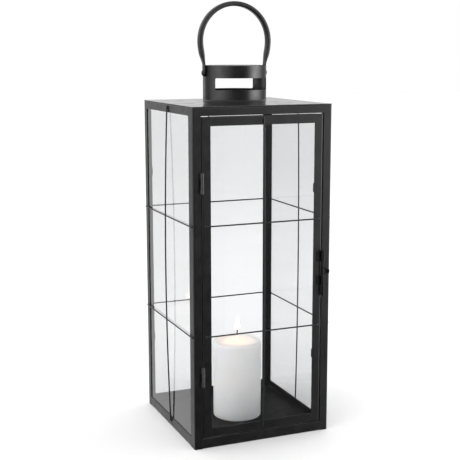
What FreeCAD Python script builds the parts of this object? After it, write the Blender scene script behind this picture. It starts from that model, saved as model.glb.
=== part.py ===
import FreeCAD, Part
import math
import os

V = FreeCAD.Vector
os.makedirs("parts", exist_ok=True)

# Candle lantern: a glazed square body of sheet-metal angles, a round vent collar and a bail handle.
# Millimetres. +Z up, +X to the right of the door, -Y out of the door.
# Origin: centre of the base, on the surface that the lantern stands on.

# ---- body -------------------------------------------------------------------------------
body_width = 200.0            # across the left and right faces
body_depth = 200.0            # across the door and the back face
body_height = 460.0           # base to the flat border of the roof
sheet = 1.0                   # all frame sheet
post_face = 11.5              # post flange in the door and back faces
front_post_side = 15.5        # side flange of the two front posts
back_post_side = 11.5         # side flange of the two back posts
post_corner_radius = 0.7
jamb_depth = 6.0              # strip behind each front post's edge, which closes the door's gap
top_rail_height = 11.0
bottom_rail_height = 14.0

# ---- roof, vent collar and its cap ------------------------------------------------------
roof_border = 12.0            # flat border that sits on the rails
roof_slope = 33.0             # run of the pressed slope inside the border
roof_rise = 2.5
vent_ledge = 4.8              # roof plate left inside the collar's foot
collar_radius = 44.0
collar_height = 47.5
collar_wall = 1.2
window_low = 14.7             # window's lower edge above the collar's foot
window_height = 16.0
window_angle = 120.0          # each of the two windows, front and back
window_corner = 2.0
cap_recess = 0.6
cap_sheet = 1.2

# ---- handle -----------------------------------------------------------------------------
handle_pivot_drop = 10.0      # pivot below the collar's rim
handle_bulge = 6.5            # arch's centre line outside the collar
handle_arch_rise = 43.0       # arch centre above the pivot
handle_thick = 6.6
handle_wide = 9.6
strap_thick = 2.0
strap_wide = 10.0
strap_rise = 11.0             # flat strap above the pivot
handle_gap = 0.35             # strap to collar, and strap to rivet head
rivet_radius = 2.0
rivet_head_radius = 4.1
rivet_head_height = 2.0
rivet_tail_radius = 3.2
rivet_tail_height = 0.8
rivet_root = 0.5              # shank into the head
leg_sections = (0.0, 0.33, 0.66, 1.0)
leg_ease = 0.35               # share of a smooth start in the leg's curve
leg_swell = 2.2               # how soon the strap thickens to the bar
leg_slope = 1.2
pivot_clearance = 0.05        # radial

# ---- floor and glass --------------------------------------------------------------------
tray_skirt = 3.0              # turned-down edge of the floor tray
tray_margin = 5.0             # tray edge inside the body's faces
tray_corner = 2.0
pane_thick = 2.0
pane_overlap = 4.1            # pane behind the frame on each side
pane_rail_overlap = 6.0       # pane behind the rails at top and bottom
clip_sheet = 0.8
clip_length = 12.0
clip_foot = 4.0
clip_lip = 4.2
clip_places = (0.22, 0.78)     # shares of the pane's height
clip_gap = 0.2                # clip beside the pane's edge

# ---- wire lattice -----------------------------------------------------------------------
wire_radius = 1.0
cross_wire_inset = 3.2        # cross wire's end inside the frame's edge
upright_end_inset_top = 2.5
upright_end_inset_bottom = 6.0
left_wire_bow = 4.6
right_wire_bow = 2.4
back_wire_bow = 2.4
door_wire_bow = 3.4
left_wire_shift = 4.0         # left upright off centre, towards the door
right_wire_shift = 2.0        # right upright off centre, towards the back

# ---- door -------------------------------------------------------------------------------
door_strip = 12.2
door_return = 4.0             # turned-in edge round the door
door_gap_hinge = 1.2
door_gap_latch = 1.6
door_gap_top = 0.95
door_gap_bottom = 1.3
door_pane_overlap = 4.0

# ---- hinges -----------------------------------------------------------------------------
knuckle_radius = 2.2
knuckle_gap = 0.3
hinge_length = 26.0
middle_knuckle = 11.0
hinge_pin_radius = 1.2
hinge_pin_head = 1.9
hinge_standoff = 0.3          # barrel to the faces behind it
lower_hinge_height = 101.0
upper_hinge_drop = 98.7       # upper hinge's centre below the roof's border
lug_reach = 1.9
lug_overlap = 0.4             # lug into the barrel
hinge_pin_tail = 0.6
hinge_head_height = 1.0
hinge_head_edge = 0.6
lug_edge = 0.1                # lug back from the sheet's edge

# ---- latch ------------------------------------------------------------------------------
latch_rod_radius = 1.5
latch_knuckle_radius = 2.5
latch_standoff = 0.5
latch_offset = 0.3            # rod's axis beside the middle of the gap
latch_upper_rise = 15.0       # upper bracket's foot above mid-height
latch_upper_length = 14.5
latch_lower_drop = 18.0       # lower bracket's foot below mid-height
latch_lower_length = 13.0
latch_plate_tuck = 0.8        # plate's edge into the rolled strap, from the rod's axis
latch_plate_reach = 7.8       # plate on the door's stile, from the rod's axis
latch_tail_radius = 2.3
latch_tail_length = 15.3
latch_head_radius = 2.1
latch_head_height = 1.2
loop_radius = 1.1
loop_bend = 2.4
loop_gap = 0.3                # loop to the post's face
loop_margin = 0.8             # loop's end back from the post's corner
loop_spread = 6.4             # between the loop's arms at its end
loop_root_rise = 4.3          # upper arm's rise back to the rod
loop_root_fall = -1.6         # lower arm's rise back to the rod
catch_radius = 1.6
catch_height = 1.0
catch_setback = 5.4           # catch back from the post's corner
catch_rise = 1.0              # catch above mid-height

# ---- candle -----------------------------------------------------------------------------
candle_radius = 35.0
candle_height = 112.0
candle_x = 2.8
candle_y = -1.4
candle_edge = 3.0
pool_radius = 28.0
pool_depth = 1.6
wick_radius = 0.9
wick_above = 18.0
wick_below = 12.0

# ---- derived places ---------------------------------------------------------------------
half_w = body_width / 2
half_d = body_depth / 2
rail_shelf = post_face - sheet    # inward flange of every rail, as wide as the posts
vent_hole_radius = collar_radius - collar_wall - vent_ledge
handle_arch_radius = collar_radius + handle_bulge
frame_top = body_height - sheet
rail_top_low = frame_top - top_rail_height
roof_top = body_height + roof_rise
collar_top = roof_top + collar_height
tray_top = sheet + tray_skirt
wire_low_z = bottom_rail_height / 2 + (frame_top - top_rail_height / 2 - bottom_rail_height / 2) / 3
wire_high_z = bottom_rail_height / 2 + 2 * (frame_top - top_rail_height / 2 - bottom_rail_height / 2) / 3
door_left = -half_w + post_face + door_gap_hinge
door_right = half_w - post_face - door_gap_latch
door_low = bottom_rail_height + door_gap_bottom
door_high = rail_top_low - door_gap_top
hinge_x = -half_w + post_face + door_gap_hinge / 2
hinge_y = -half_d - hinge_standoff - knuckle_radius
latch_x = door_right + door_gap_latch / 2 + latch_offset
latch_y = -half_d - latch_standoff - latch_knuckle_radius
latch_z = body_height / 2
latch_upper_low = latch_z + latch_upper_rise
latch_lower_low = latch_z - latch_lower_drop
pivot_z = collar_top - handle_pivot_drop
TURN = {"front": 0.0, "left": -90.0, "back": 180.0, "right": 90.0}


def box(x0, x1, y0, y1, z0, z1):
    """Block between two corners."""
    return Part.makeBox(x1 - x0, y1 - y0, z1 - z0, V(x0, y0, z0))


def tube(radius, start, end):
    """Round bar between two points."""
    return Part.makeCylinder(radius, (end - start).Length, start, end - start)


def turned(shape, face):
    """Copy of a shape made for the front face, turned onto another face."""
    copy = shape.copy()
    copy.rotate(V(0, 0, 0), V(0, 0, 1), TURN[face])
    return copy


def mirrored(shape, normal):
    """Copy mirrored through the lantern's centre plane."""
    return shape.mirror(V(0, 0, 0), normal)


def face_half(face):
    """Distance of a face from the centre."""
    return half_d if face in ("front", "back") else half_w


def export(name, *shapes):
    """Write one node."""
    shape = shapes[0] if len(shapes) == 1 else Part.makeCompound(list(shapes))
    shape.exportStep(f"parts/{name}.step")


def frustum(half_low, half_high, z_low, z_high):
    """Square block whose sides slope in. Each half is the distance from centre to side."""
    wires = []
    for (hx, hy), z in ((half_low, z_low), (half_high, z_high)):
        corners = [V(-hx, -hy, z), V(hx, -hy, z), V(hx, hy, z), V(-hx, hy, z), V(-hx, -hy, z)]
        wires.append(Part.makePolygon(corners))
    return Part.makeLoft(wires, True, True)


def rounded_path(points, radius):
    """Wire through the points, each inner corner replaced by a tangent arc of one radius."""
    edges = []
    start = points[0]
    for before, corner, after in zip(points, points[1:], points[2:]):
        to_before = (before - corner).normalize()
        to_after = (after - corner).normalize()
        half_angle = to_before.getAngle(to_after) / 2
        cut = radius / math.tan(half_angle)
        first = corner + to_before * cut
        last = corner + to_after * cut
        centre = corner + (to_before + to_after).normalize() * (radius / math.sin(half_angle))
        middle = centre + (corner - centre).normalize() * radius
        edges.append(Part.LineSegment(start, first).toShape())
        edges.append(Part.Arc(first, middle, last).toShape())
        start = last
    edges.append(Part.LineSegment(start, points[-1]).toShape())
    return Part.Wire(edges)


def swept_round(path, radius):
    """Round bar along a wire."""
    first = path.Edges[0]
    begin = first.valueAt(first.FirstParameter)
    direction = first.tangentAt(first.FirstParameter)
    section = Part.Wire([Part.makeCircle(radius, begin, direction)])
    return path.makePipeShell([section], True, False)


# ---- frame ------------------------------------------------------------------------------
def corner_post(side_flange):
    """Left front angle, its outer corner slightly rounded."""
    x, y = -half_w, -half_d
    post = box(x, x + post_face, y, y + sheet, 0, frame_top)
    post = post.fuse(box(x, x + sheet, y, y + side_flange, 0, frame_top)).removeSplitter()
    corner = [e for e in post.Edges if abs(e.CenterOfMass.x - x) < 1e-6 and abs(e.CenterOfMass.y - y) < 1e-6]
    return post.makeFillet(post_corner_radius, corner)


def build_posts():
    front = corner_post(front_post_side)
    back = mirrored(corner_post(back_post_side), V(0, 1, 0))
    export("corner_post_front_left", front)
    export("corner_post_front_right", mirrored(front, V(1, 0, 0)))
    export("corner_post_back_left", back)
    export("corner_post_back_right", mirrored(back, V(1, 0, 0)))


def build_jambs():
    """Strips that stand behind the edges of the front posts and shut off the view past the door."""
    edge = -half_w + post_face
    back = -half_d + sheet
    jamb = box(edge - sheet, edge, back, back + jamb_depth, bottom_rail_height, rail_top_low)
    export("door_jamb_left", jamb)
    export("door_jamb_right", mirrored(jamb, V(1, 0, 0)))


def rail_span(face):
    """Ends of a rail on a face, in the front face's own X."""
    if face in ("front", "back"):
        return -half_w + post_face, half_w - post_face
    near = half_d - front_post_side
    far = half_d - back_post_side
    return (-far, near) if face == "left" else (-near, far)


def build_rails():
    for face in TURN:
        x0, x1 = rail_span(face)
        outer = -face_half(face)
        upright = box(x0, x1, outer, outer + sheet, rail_top_low, frame_top)
        shelf = box(x0, x1, outer, outer + sheet + rail_shelf, frame_top - sheet, frame_top)
        export(f"top_rail_{face}", turned(upright.fuse(shelf).removeSplitter(), face))
        upright = box(x0, x1, outer, outer + sheet, 0, bottom_rail_height)
        shelf = box(x0, x1, outer, outer + sheet + rail_shelf, 0, sheet)
        export(f"bottom_rail_{face}", turned(upright.fuse(shelf).removeSplitter(), face))


def build_roof():
    """Pressed roof panel with the vent hole under the collar."""
    foot = (half_w - roof_border, half_d - roof_border)
    crown = (foot[0] - roof_slope, foot[1] - roof_slope)
    outside = box(-half_w, half_w, -half_d, half_d, frame_top, body_height)
    outside = outside.fuse(frustum(foot, crown, body_height, roof_top))
    inner_foot = (foot[0] - sheet, foot[1] - sheet)
    inner_crown = (crown[0] - sheet, crown[1] - sheet)
    inside = frustum(inner_foot, inner_crown, frame_top, roof_top - sheet)
    hole = Part.makeCylinder(vent_hole_radius, body_height, V(0, 0, frame_top - sheet))
    export("roof_plate", outside.removeSplitter().cut(inside).cut(hole))


def window_cutter():
    """Curved slot through the collar's front wall."""
    inner = collar_radius - 2 * collar_wall
    outer = collar_radius + collar_wall
    low = roof_top + window_low
    high = low + window_height
    corners = [V(inner, 0, low), V(outer, 0, low), V(outer, 0, high), V(inner, 0, high), V(inner, 0, low)]
    face = Part.Face(Part.makePolygon(corners))
    slot = face.revolve(V(0, 0, 0), V(0, 0, 1), window_angle)
    slot.rotate(V(0, 0, 0), V(0, 0, 1), -90.0 - window_angle / 2)
    radial = [e for e in slot.Edges if e.Curve.TypeId == "Part::GeomLine" and abs(e.tangentAt(0).z) < 0.5]
    return slot.makeFillet(window_corner, radial)


def build_collar():
    ring = Part.makeCylinder(collar_radius, collar_height, V(0, 0, roof_top))
    ring = ring.cut(Part.makeCylinder(collar_radius - collar_wall, collar_height, V(0, 0, roof_top)))
    slot = window_cutter()
    ring = ring.cut(slot).cut(mirrored(slot, V(0, 1, 0)))
    hole = Part.makeCylinder(rivet_radius, 2 * collar_radius + 2, V(-collar_radius - 1, 0, pivot_z), V(1, 0, 0))
    export("vent_collar", ring.cut(hole))
    cap_low = collar_top - cap_recess - cap_sheet
    export("vent_cap", Part.makeCylinder(collar_radius - collar_wall, cap_sheet, V(0, 0, cap_low)))


# ---- handle -----------------------------------------------------------------------------
def oval(centre, across, along, wide, thick):
    """Closed oval section: wide along Y, thick along the direction across the bar."""
    low = centre - V(0, wide / 2 - thick / 2, 0)
    high = centre + V(0, wide / 2 - thick / 2, 0)
    out = across * (thick / 2)
    edges = [
        Part.LineSegment(low + out, high + out).toShape(),
        Part.Arc(high + out, high + V(0, thick / 2, 0), high - out).toShape(),
        Part.LineSegment(high - out, low - out).toShape(),
        Part.Arc(low - out, low - V(0, thick / 2, 0), low + out).toShape(),
    ]
    return Part.Wire(edges)


def handle_leg():
    """Right leg from its flat strap up to the foot of the arch."""
    strap_x = collar_radius + handle_gap + strap_thick / 2
    flat_z = pivot_z + strap_rise
    arch_z = pivot_z + handle_arch_rise
    lean = (handle_arch_radius - strap_x) / (arch_z - flat_z)
    sections = []
    for share in leg_sections:
        z = flat_z + share * (arch_z - flat_z)
        ease = share * share * (3 - 2 * share) * leg_ease + (1 - leg_ease) * math.sin(share * math.pi / 2)
        x = strap_x + ease * (handle_arch_radius - strap_x)
        swell = min(1.0, leg_swell * share)
        thick = strap_thick + swell * (handle_thick - strap_thick)
        wide = strap_wide + swell * (handle_wide - strap_wide)
        slope = lean * leg_slope * (1 - share)
        across = V(1, 0, -slope).normalize()
        sections.append(oval(V(x, 0, z), across, V(0, 0, 1), wide, thick))
    return Part.makeLoft(sections, True, False)


def build_handle():
    arch_z = pivot_z + handle_arch_rise
    section = Part.Face(oval(V(handle_arch_radius, 0, arch_z), V(1, 0, 0), V(0, 0, 1), handle_wide, handle_thick))
    arch = section.revolve(V(0, 0, arch_z), V(0, -1, 0), 180.0)
    leg = handle_leg()
    inner_x = collar_radius + handle_gap
    plate = box(inner_x, inner_x + strap_thick, -strap_wide / 2, strap_wide / 2, pivot_z, pivot_z + strap_rise)
    disc = Part.makeCylinder(strap_wide / 2, strap_thick, V(inner_x, 0, pivot_z), V(1, 0, 0))
    strap = plate.fuse(disc).fuse(leg)
    bar = arch.fuse(strap).fuse(mirrored(strap, V(1, 0, 0)))
    reach = handle_arch_radius + handle_thick
    bore = Part.makeCylinder(rivet_radius + pivot_clearance, 2 * reach, V(-reach, 0, pivot_z), V(1, 0, 0))
    export("handle", bar.cut(bore).removeSplitter())

    shank_start = collar_radius - 2 * collar_wall
    shank_end = inner_x + strap_thick + handle_gap
    rivet = tube(rivet_radius, V(shank_start, 0, pivot_z), V(shank_end + rivet_root, 0, pivot_z))
    dome = rivet_head_radius ** 2 / (2 * rivet_head_height) + rivet_head_height / 2
    ball = Part.makeSphere(dome, V(shank_end + rivet_head_height - dome, 0, pivot_z))
    room = 2 * rivet_head_radius
    head = ball.common(box(shank_end, shank_end + room, -room, room, pivot_z - room, pivot_z + room))
    tail = tube(rivet_tail_radius, V(shank_start - rivet_tail_height, 0, pivot_z), V(shank_start, 0, pivot_z))
    rivet = rivet.fuse(head).fuse(tail)
    wall = Part.makeCylinder(collar_radius, collar_height, V(0, 0, roof_top))
    wall = wall.cut(Part.makeCylinder(collar_radius - collar_wall, collar_height, V(0, 0, roof_top)))
    hole = Part.makeCylinder(rivet_radius, 2 * reach, V(-reach, 0, pivot_z), V(1, 0, 0))
    rivet = rivet.cut(wall.cut(hole)).removeSplitter()
    export("handle_rivet_right", rivet)
    export("handle_rivet_left", mirrored(rivet, V(1, 0, 0)))


# ---- floor and glass --------------------------------------------------------------------
def build_floor():
    """Inverted shallow tray that stands on the bottom rails' shelves."""
    hx, hy = half_w - tray_margin, half_d - tray_margin
    tray = box(-hx, hx, -hy, hy, sheet, tray_top)
    upper = [e for e in tray.Edges if abs(e.CenterOfMass.z - tray_top) < 1e-6]
    uprights = [e for e in tray.Edges if abs(e.CenterOfMass.z - (sheet + tray_top) / 2) < 1e-6]
    tray = tray.makeFillet(tray_corner, uprights)
    upper = [e for e in tray.Edges if abs(e.BoundBox.ZMin - tray_top) < 1e-6 and e.BoundBox.ZLength < 1e-6]
    tray = tray.makeFillet(sheet, upper)
    hollow = box(-hx + sheet, hx - sheet, -hy + sheet, hy - sheet, 0, tray_top - sheet)
    export("floor_tray", tray.cut(hollow))


def glass_clip(edge_x, side, outer_y, z):
    """Bent tab beside a pane's edge: foot on the frame, lip over the glass."""
    sheet_in = outer_y + sheet
    glass_in = sheet_in + pane_thick
    root = edge_x + side * clip_gap
    low, high = z - clip_length / 2, z + clip_length / 2

    def span(a, b):
        return min(a, b), max(a, b)

    x0, x1 = span(root, root + side * clip_foot)
    foot = box(x0, x1, sheet_in, sheet_in + clip_sheet, low, high)
    x0, x1 = span(root, root + side * clip_sheet)
    riser = box(x0, x1, sheet_in, glass_in + clip_sheet, low, high)
    x0, x1 = span(root + side * clip_sheet, edge_x - side * clip_lip)
    lip = box(x0, x1, glass_in, glass_in + clip_sheet, low, high)
    return foot.fuse(riser).fuse(lip).removeSplitter()


def build_fixed_panes():
    low = bottom_rail_height - pane_rail_overlap
    high = rail_top_low + pane_rail_overlap
    for face in ("left", "right", "back"):
        outer = -face_half(face)
        half_pane = (half_w if face == "back" else half_d) - back_post_side + pane_overlap
        pane = box(-half_pane, half_pane, outer + sheet, outer + sheet + pane_thick, low, high)
        export(f"glass_{face}", turned(pane, face))
        clips = []
        for side in (-1, 1):
            for share in clip_places:
                clips.append(turned(glass_clip(side * half_pane, side, outer, low + share * (high - low)), face))
        export(f"glass_clips_{face}", *clips)


# ---- wires ------------------------------------------------------------------------------
def upright_wire(x, outer, low, high, bow):
    """Bar that starts flat on the lower strip, bows outwards and ends flat on the upper one."""
    y = outer - wire_radius
    middle = V(x, y - bow, (low + high) / 2)
    arc = Part.Arc(V(x, y, low), middle, V(x, y, high))
    return swept_round(Part.Wire([arc.toShape()]), wire_radius)


def cross_wire(x0, x1, outer, z):
    """Straight bar on the frame's outer face."""
    y = outer - wire_radius
    return tube(wire_radius, V(x0, y, z), V(x1, y, z))


def build_fixed_wires():
    low = bottom_rail_height - upright_end_inset_bottom
    high = frame_top - upright_end_inset_top
    bows = {"left": left_wire_bow, "right": right_wire_bow, "back": back_wire_bow}
    shifts = {"left": left_wire_shift, "right": right_wire_shift, "back": 0.0}
    for face, bow in bows.items():
        outer = -face_half(face)
        reach = (half_w if face == "back" else half_d) - cross_wire_inset
        export(f"{face}_upright_wire", turned(upright_wire(shifts[face], outer, low, high, bow), face))
        export(f"{face}_lower_cross_wire", turned(cross_wire(-reach, reach, outer, wire_low_z), face))
        export(f"{face}_upper_cross_wire", turned(cross_wire(-reach, reach, outer, wire_high_z), face))


# ---- door -------------------------------------------------------------------------------
def build_door():
    outer = -half_d
    back = outer + sheet + door_return
    stile = box(door_left, door_left + door_strip, outer, outer + sheet, door_low, door_high)
    lip = box(door_left, door_left + sheet, outer, back, door_low, door_high)
    export("door_hinge_stile", stile.fuse(lip).removeSplitter())
    stile = box(door_right - door_strip, door_right, outer, outer + sheet, door_low, door_high)
    lip = box(door_right - sheet, door_right, outer, back, door_low, door_high)
    export("door_latch_stile", stile.fuse(lip).removeSplitter())

    x0, x1 = door_left + door_strip, door_right - door_strip
    rail = box(x0, x1, outer, outer + sheet, door_high - door_strip, door_high)
    lip = box(x0, x1, outer, back, door_high - sheet, door_high)
    export("door_top_rail", rail.fuse(lip).removeSplitter())
    rail = box(x0, x1, outer, outer + sheet, door_low, door_low + door_strip)
    lip = box(x0, x1, outer, back, door_low, door_low + sheet)
    export("door_bottom_rail", rail.fuse(lip).removeSplitter())

    glass_x0, glass_x1 = x0 - door_pane_overlap, x1 + door_pane_overlap
    glass_low = door_low + door_strip - door_pane_overlap
    glass_high = door_high - door_strip + door_pane_overlap
    export("door_glass", box(glass_x0, glass_x1, outer + sheet, outer + sheet + pane_thick, glass_low, glass_high))
    clips = []
    for side, edge in ((-1, glass_x0), (1, glass_x1)):
        for share in clip_places:
            clips.append(glass_clip(edge, side, outer, glass_low + share * (glass_high - glass_low)))
    export("door_glass_clips", *clips)

    middle = (door_left + door_right) / 2
    low = door_low + upright_end_inset_bottom
    export("door_upright_wire", upright_wire(middle, outer, low, door_high - upright_end_inset_top, door_wire_bow))
    wire_x0, wire_x1 = door_left + cross_wire_inset, door_right - cross_wire_inset
    export("door_lower_cross_wire", cross_wire(wire_x0, wire_x1, outer, wire_low_z))
    export("door_upper_cross_wire", cross_wire(wire_x0, wire_x1, outer, wire_high_z))


# ---- hinges -----------------------------------------------------------------------------
def knuckle(z0, z1, bore, lug_from, lug_to):
    """Rolled barrel with its welding lug on the sheet behind it."""
    barrel = tube(knuckle_radius, V(hinge_x, hinge_y, z0), V(hinge_x, hinge_y, z1))
    lug = box(min(lug_from, lug_to), max(lug_from, lug_to), hinge_y + lug_overlap, -half_d, z0, z1)
    hole = tube(bore, V(hinge_x, hinge_y, z0 - 1), V(hinge_x, hinge_y, z1 + 1))
    return barrel.fuse(lug).cut(hole).removeSplitter()


def build_hinge(name, centre):
    low, high = centre - hinge_length / 2, centre + hinge_length / 2
    mid_low, mid_high = centre - middle_knuckle / 2, centre + middle_knuckle / 2
    frame_edge = -half_w + post_face - lug_edge
    door_edge = door_left + lug_edge
    frame_low = knuckle(low, mid_low - knuckle_gap, hinge_pin_radius, frame_edge, frame_edge - lug_reach)
    frame_high = knuckle(mid_high + knuckle_gap, high, hinge_pin_radius, frame_edge, frame_edge - lug_reach)
    export(f"{name}_hinge_frame_knuckles", frame_low, frame_high)
    bore = hinge_pin_radius + pivot_clearance
    export(f"{name}_hinge_door_knuckle", knuckle(mid_low, mid_high, bore, door_edge, door_edge + lug_reach))
    pin = tube(hinge_pin_radius, V(hinge_x, hinge_y, low - hinge_pin_tail), V(hinge_x, hinge_y, high))
    head = tube(hinge_pin_head, V(hinge_x, hinge_y, high), V(hinge_x, hinge_y, high + hinge_head_height))
    rim = [e for e in head.Edges if abs(e.CenterOfMass.z - high - hinge_head_height) < 1e-6]
    export(f"{name}_hinge_pin", pin.fuse(head.makeFillet(hinge_head_edge, rim)).removeSplitter())


# ---- latch ------------------------------------------------------------------------------
def latch_bracket(low, length):
    """Strap on the door's stile, rolled round the latch rod."""
    top = low + length
    barrel = tube(latch_knuckle_radius, V(latch_x, latch_y, low), V(latch_x, latch_y, top))
    plate = box(latch_x - latch_plate_reach, latch_x - latch_plate_tuck, -half_d - sheet, -half_d, low, top)
    plate = plate.common(box(latch_x - latch_plate_reach, door_right, -half_d - sheet, -half_d, low, top))
    bore = latch_rod_radius + pivot_clearance
    return barrel.fuse(plate).cut(tube(bore, V(latch_x, latch_y, low - 1), V(latch_x, latch_y, top + 1)))


def build_latch():
    export("latch_upper_bracket", latch_bracket(latch_upper_low, latch_upper_length).removeSplitter())
    export("latch_lower_bracket", latch_bracket(latch_lower_low, latch_lower_length).removeSplitter())
    head_z = latch_upper_low + latch_upper_length + knuckle_gap
    tail_z = latch_lower_low - knuckle_gap
    rod = tube(latch_rod_radius, V(latch_x, latch_y, tail_z - 1), V(latch_x, latch_y, head_z))
    head = tube(latch_head_radius, V(latch_x, latch_y, head_z), V(latch_x, latch_y, head_z + latch_head_height))
    ball_z = tail_z - latch_tail_length + latch_tail_radius
    tail = tube(latch_tail_radius, V(latch_x, latch_y, ball_z), V(latch_x, latch_y, tail_z))
    ball = Part.makeSphere(latch_tail_radius, V(latch_x, latch_y, ball_z))
    rod = rod.fuse(head).fuse(tail).fuse(ball).removeSplitter()
    export("latch_rod", rod)

    end_x = half_w - loop_margin - loop_radius
    face_y = -half_d - loop_gap - loop_radius
    high = latch_z + loop_spread / 2
    low = latch_z - loop_spread / 2
    points = [
        V(latch_x, latch_y, high + loop_root_rise),
        V(end_x, face_y, high),
        V(end_x, face_y, low),
        V(latch_x, latch_y, low - loop_root_fall),
    ]
    loop = swept_round(rounded_path(points, loop_bend), loop_radius)
    export("latch_loop", loop.cut(rod))

    dome = catch_radius ** 2 / (2 * catch_height) + catch_height / 2
    catch_x = half_w - catch_setback
    catch_z = latch_z + catch_rise
    ball = Part.makeSphere(dome, V(catch_x, -half_d - catch_height + dome, catch_z))
    room = 2 * catch_radius
    slab = box(catch_x - room, catch_x + room, -half_d - room, -half_d, catch_z - room, catch_z + room)
    export("latch_catch", ball.common(slab))


# ---- candle -----------------------------------------------------------------------------
def build_candle():
    top = tray_top + candle_height
    centre = V(candle_x, candle_y, tray_top)
    wax = Part.makeCylinder(candle_radius, candle_height, centre)
    rim = [e for e in wax.Edges if e.BoundBox.ZLength < 1e-6 and abs(e.BoundBox.ZMin - top) < 1e-6]
    wax = wax.makeFillet(candle_edge, rim)
    bowl = pool_radius ** 2 / (2 * pool_depth) + pool_depth / 2
    wax = wax.cut(Part.makeSphere(bowl, V(candle_x, candle_y, top - pool_depth + bowl)))
    wick_low = top - pool_depth - wick_below
    wick_high = top - pool_depth + wick_above
    wick = tube(wick_radius, V(candle_x, candle_y, wick_low), V(candle_x, candle_y, wick_high))
    export("candle", wax.cut(wick))
    export("wick", wick)


def main():
    build_posts()
    build_jambs()
    build_rails()
    build_roof()
    build_collar()
    build_handle()
    build_floor()
    build_fixed_panes()
    build_fixed_wires()
    build_door()
    build_hinge("upper", body_height - upper_hinge_drop)
    build_hinge("lower", lower_hinge_height)
    build_latch()
    build_candle()


main()
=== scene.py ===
import logging
import math
from dataclasses import dataclass, replace
from enum import Enum
from typing import Callable, Optional, Sequence

import bmesh
import bpy
import numpy as np
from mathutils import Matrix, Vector


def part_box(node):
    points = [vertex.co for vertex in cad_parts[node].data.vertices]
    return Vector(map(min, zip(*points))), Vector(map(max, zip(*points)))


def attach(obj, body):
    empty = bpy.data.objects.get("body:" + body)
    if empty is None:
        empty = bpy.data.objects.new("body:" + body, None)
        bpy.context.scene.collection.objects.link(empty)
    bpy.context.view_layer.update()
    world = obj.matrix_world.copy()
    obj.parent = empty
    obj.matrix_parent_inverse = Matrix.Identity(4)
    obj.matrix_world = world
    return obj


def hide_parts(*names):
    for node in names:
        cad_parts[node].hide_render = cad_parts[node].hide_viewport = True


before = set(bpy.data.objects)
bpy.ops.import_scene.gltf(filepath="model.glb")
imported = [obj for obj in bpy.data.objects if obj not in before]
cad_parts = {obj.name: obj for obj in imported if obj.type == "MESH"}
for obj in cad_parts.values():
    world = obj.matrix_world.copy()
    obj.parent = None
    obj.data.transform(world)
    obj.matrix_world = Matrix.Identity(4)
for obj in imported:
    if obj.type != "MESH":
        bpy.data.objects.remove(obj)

# Candle lantern. Metres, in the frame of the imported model: +Z up, the door faces -Y.

LOG = logging.getLogger("lantern")
MM = 0.001
Array = np.ndarray
Colour = tuple[float, float, float]
WELD_DISTANCE = 1e-7
SHEET = 1.0 * MM


# ---- choices --------------------------------------------------------------------------------
class Body(Enum):
    """The moving bodies of the lantern."""

    FRAME = "root"
    DOOR = "door"
    LATCH = "latch"
    HANDLE = "handle"


class Face(Enum):
    """The faces of the body; the value is the direction that the face looks in."""

    FRONT = (0.0, -1.0, 0.0)
    LEFT = (-1.0, 0.0, 0.0)
    BACK = (0.0, 1.0, 0.0)
    RIGHT = (1.0, 0.0, 0.0)

    @property
    def out(self) -> Array:
        """Unit vector out of the face."""
        return np.array(self.value)

    @property
    def label(self) -> str:
        """Name of the face as the nodes spell it."""
        return self.name.lower()


# ---- surfaces -------------------------------------------------------------------------------
@dataclass
class Surface:
    """Points, four-cornered faces and a wear value at every point. A repeated corner makes a triangle."""

    points: Array
    faces: Array
    wear: Array

    @staticmethod
    def join(parts: Sequence["Surface"]) -> "Surface":
        """Put several surfaces into one.

        Args:
            parts: the surfaces, which keep their own points.

        Returns:
            One surface with all of them.
        """
        starts = np.cumsum([0] + [len(part.points) for part in parts[:-1]])
        return Surface(
            np.concatenate([part.points for part in parts]),
            np.concatenate([part.faces + start for part, start in zip(parts, starts)]),
            np.concatenate([part.wear for part in parts]),
        )

    def welded(self) -> "Surface":
        """Merge points that coincide, so that seams and poles are closed."""
        keys = np.round(self.points / WELD_DISTANCE).astype(np.int64)
        _, first, place = np.unique(keys, axis=0, return_index=True, return_inverse=True)
        return Surface(self.points[first], place.reshape(-1)[self.faces], self.wear[first])

    def outward(self) -> "Surface":
        """Turn a closed surface so that its faces point out: its signed volume is then positive."""
        a, b, c, d = (self.points[self.faces[:, k]] for k in range(4))
        volume = np.einsum("ij,ij->i", a, np.cross(b, c)).sum()
        volume += np.einsum("ij,ij->i", a, np.cross(c, d)).sum()
        return self if volume > 0 else replace(self, faces=self.faces[:, ::-1])

    def moved(self, offset: Array) -> "Surface":
        """Copy shifted by a vector."""
        return replace(self, points=self.points + offset)


def grid(points: Array, around: bool = False, along: bool = False, wear: Optional[Array] = None) -> Surface:
    """Surface through a grid of points: each face joins (i, j), (i+1, j), (i+1, j+1) and (i, j+1).

    Args:
        points: array of rows, columns and 3 coordinates.
        around: the last column joins the first.
        along: the last row joins the first.
        wear: one value per point of the grid, 0 where left out.

    Returns:
        The surface.
    """
    rows, columns = points.shape[:2]
    i = np.arange(rows if along else rows - 1)[:, None]
    j = np.arange(columns if around else columns - 1)[None, :]
    up, right = (i + 1) % rows, (j + 1) % columns
    corners = [i * columns + j, up * columns + j, up * columns + right, i * columns + right]
    faces = np.stack([np.broadcast_to(c, (i.size, j.size)) for c in corners], -1).reshape(-1, 4)
    values = np.zeros(rows * columns) if wear is None else np.broadcast_to(wear, (rows, columns)).reshape(-1)
    return Surface(points.reshape(-1, 3), faces, values.astype(float))


def circle(count: int) -> tuple[Array, Array]:
    """Cosines and sines of evenly spaced angles round a full turn."""
    angles = np.linspace(0.0, 2.0 * np.pi, count, endpoint=False)
    return np.cos(angles), np.sin(angles)


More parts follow.
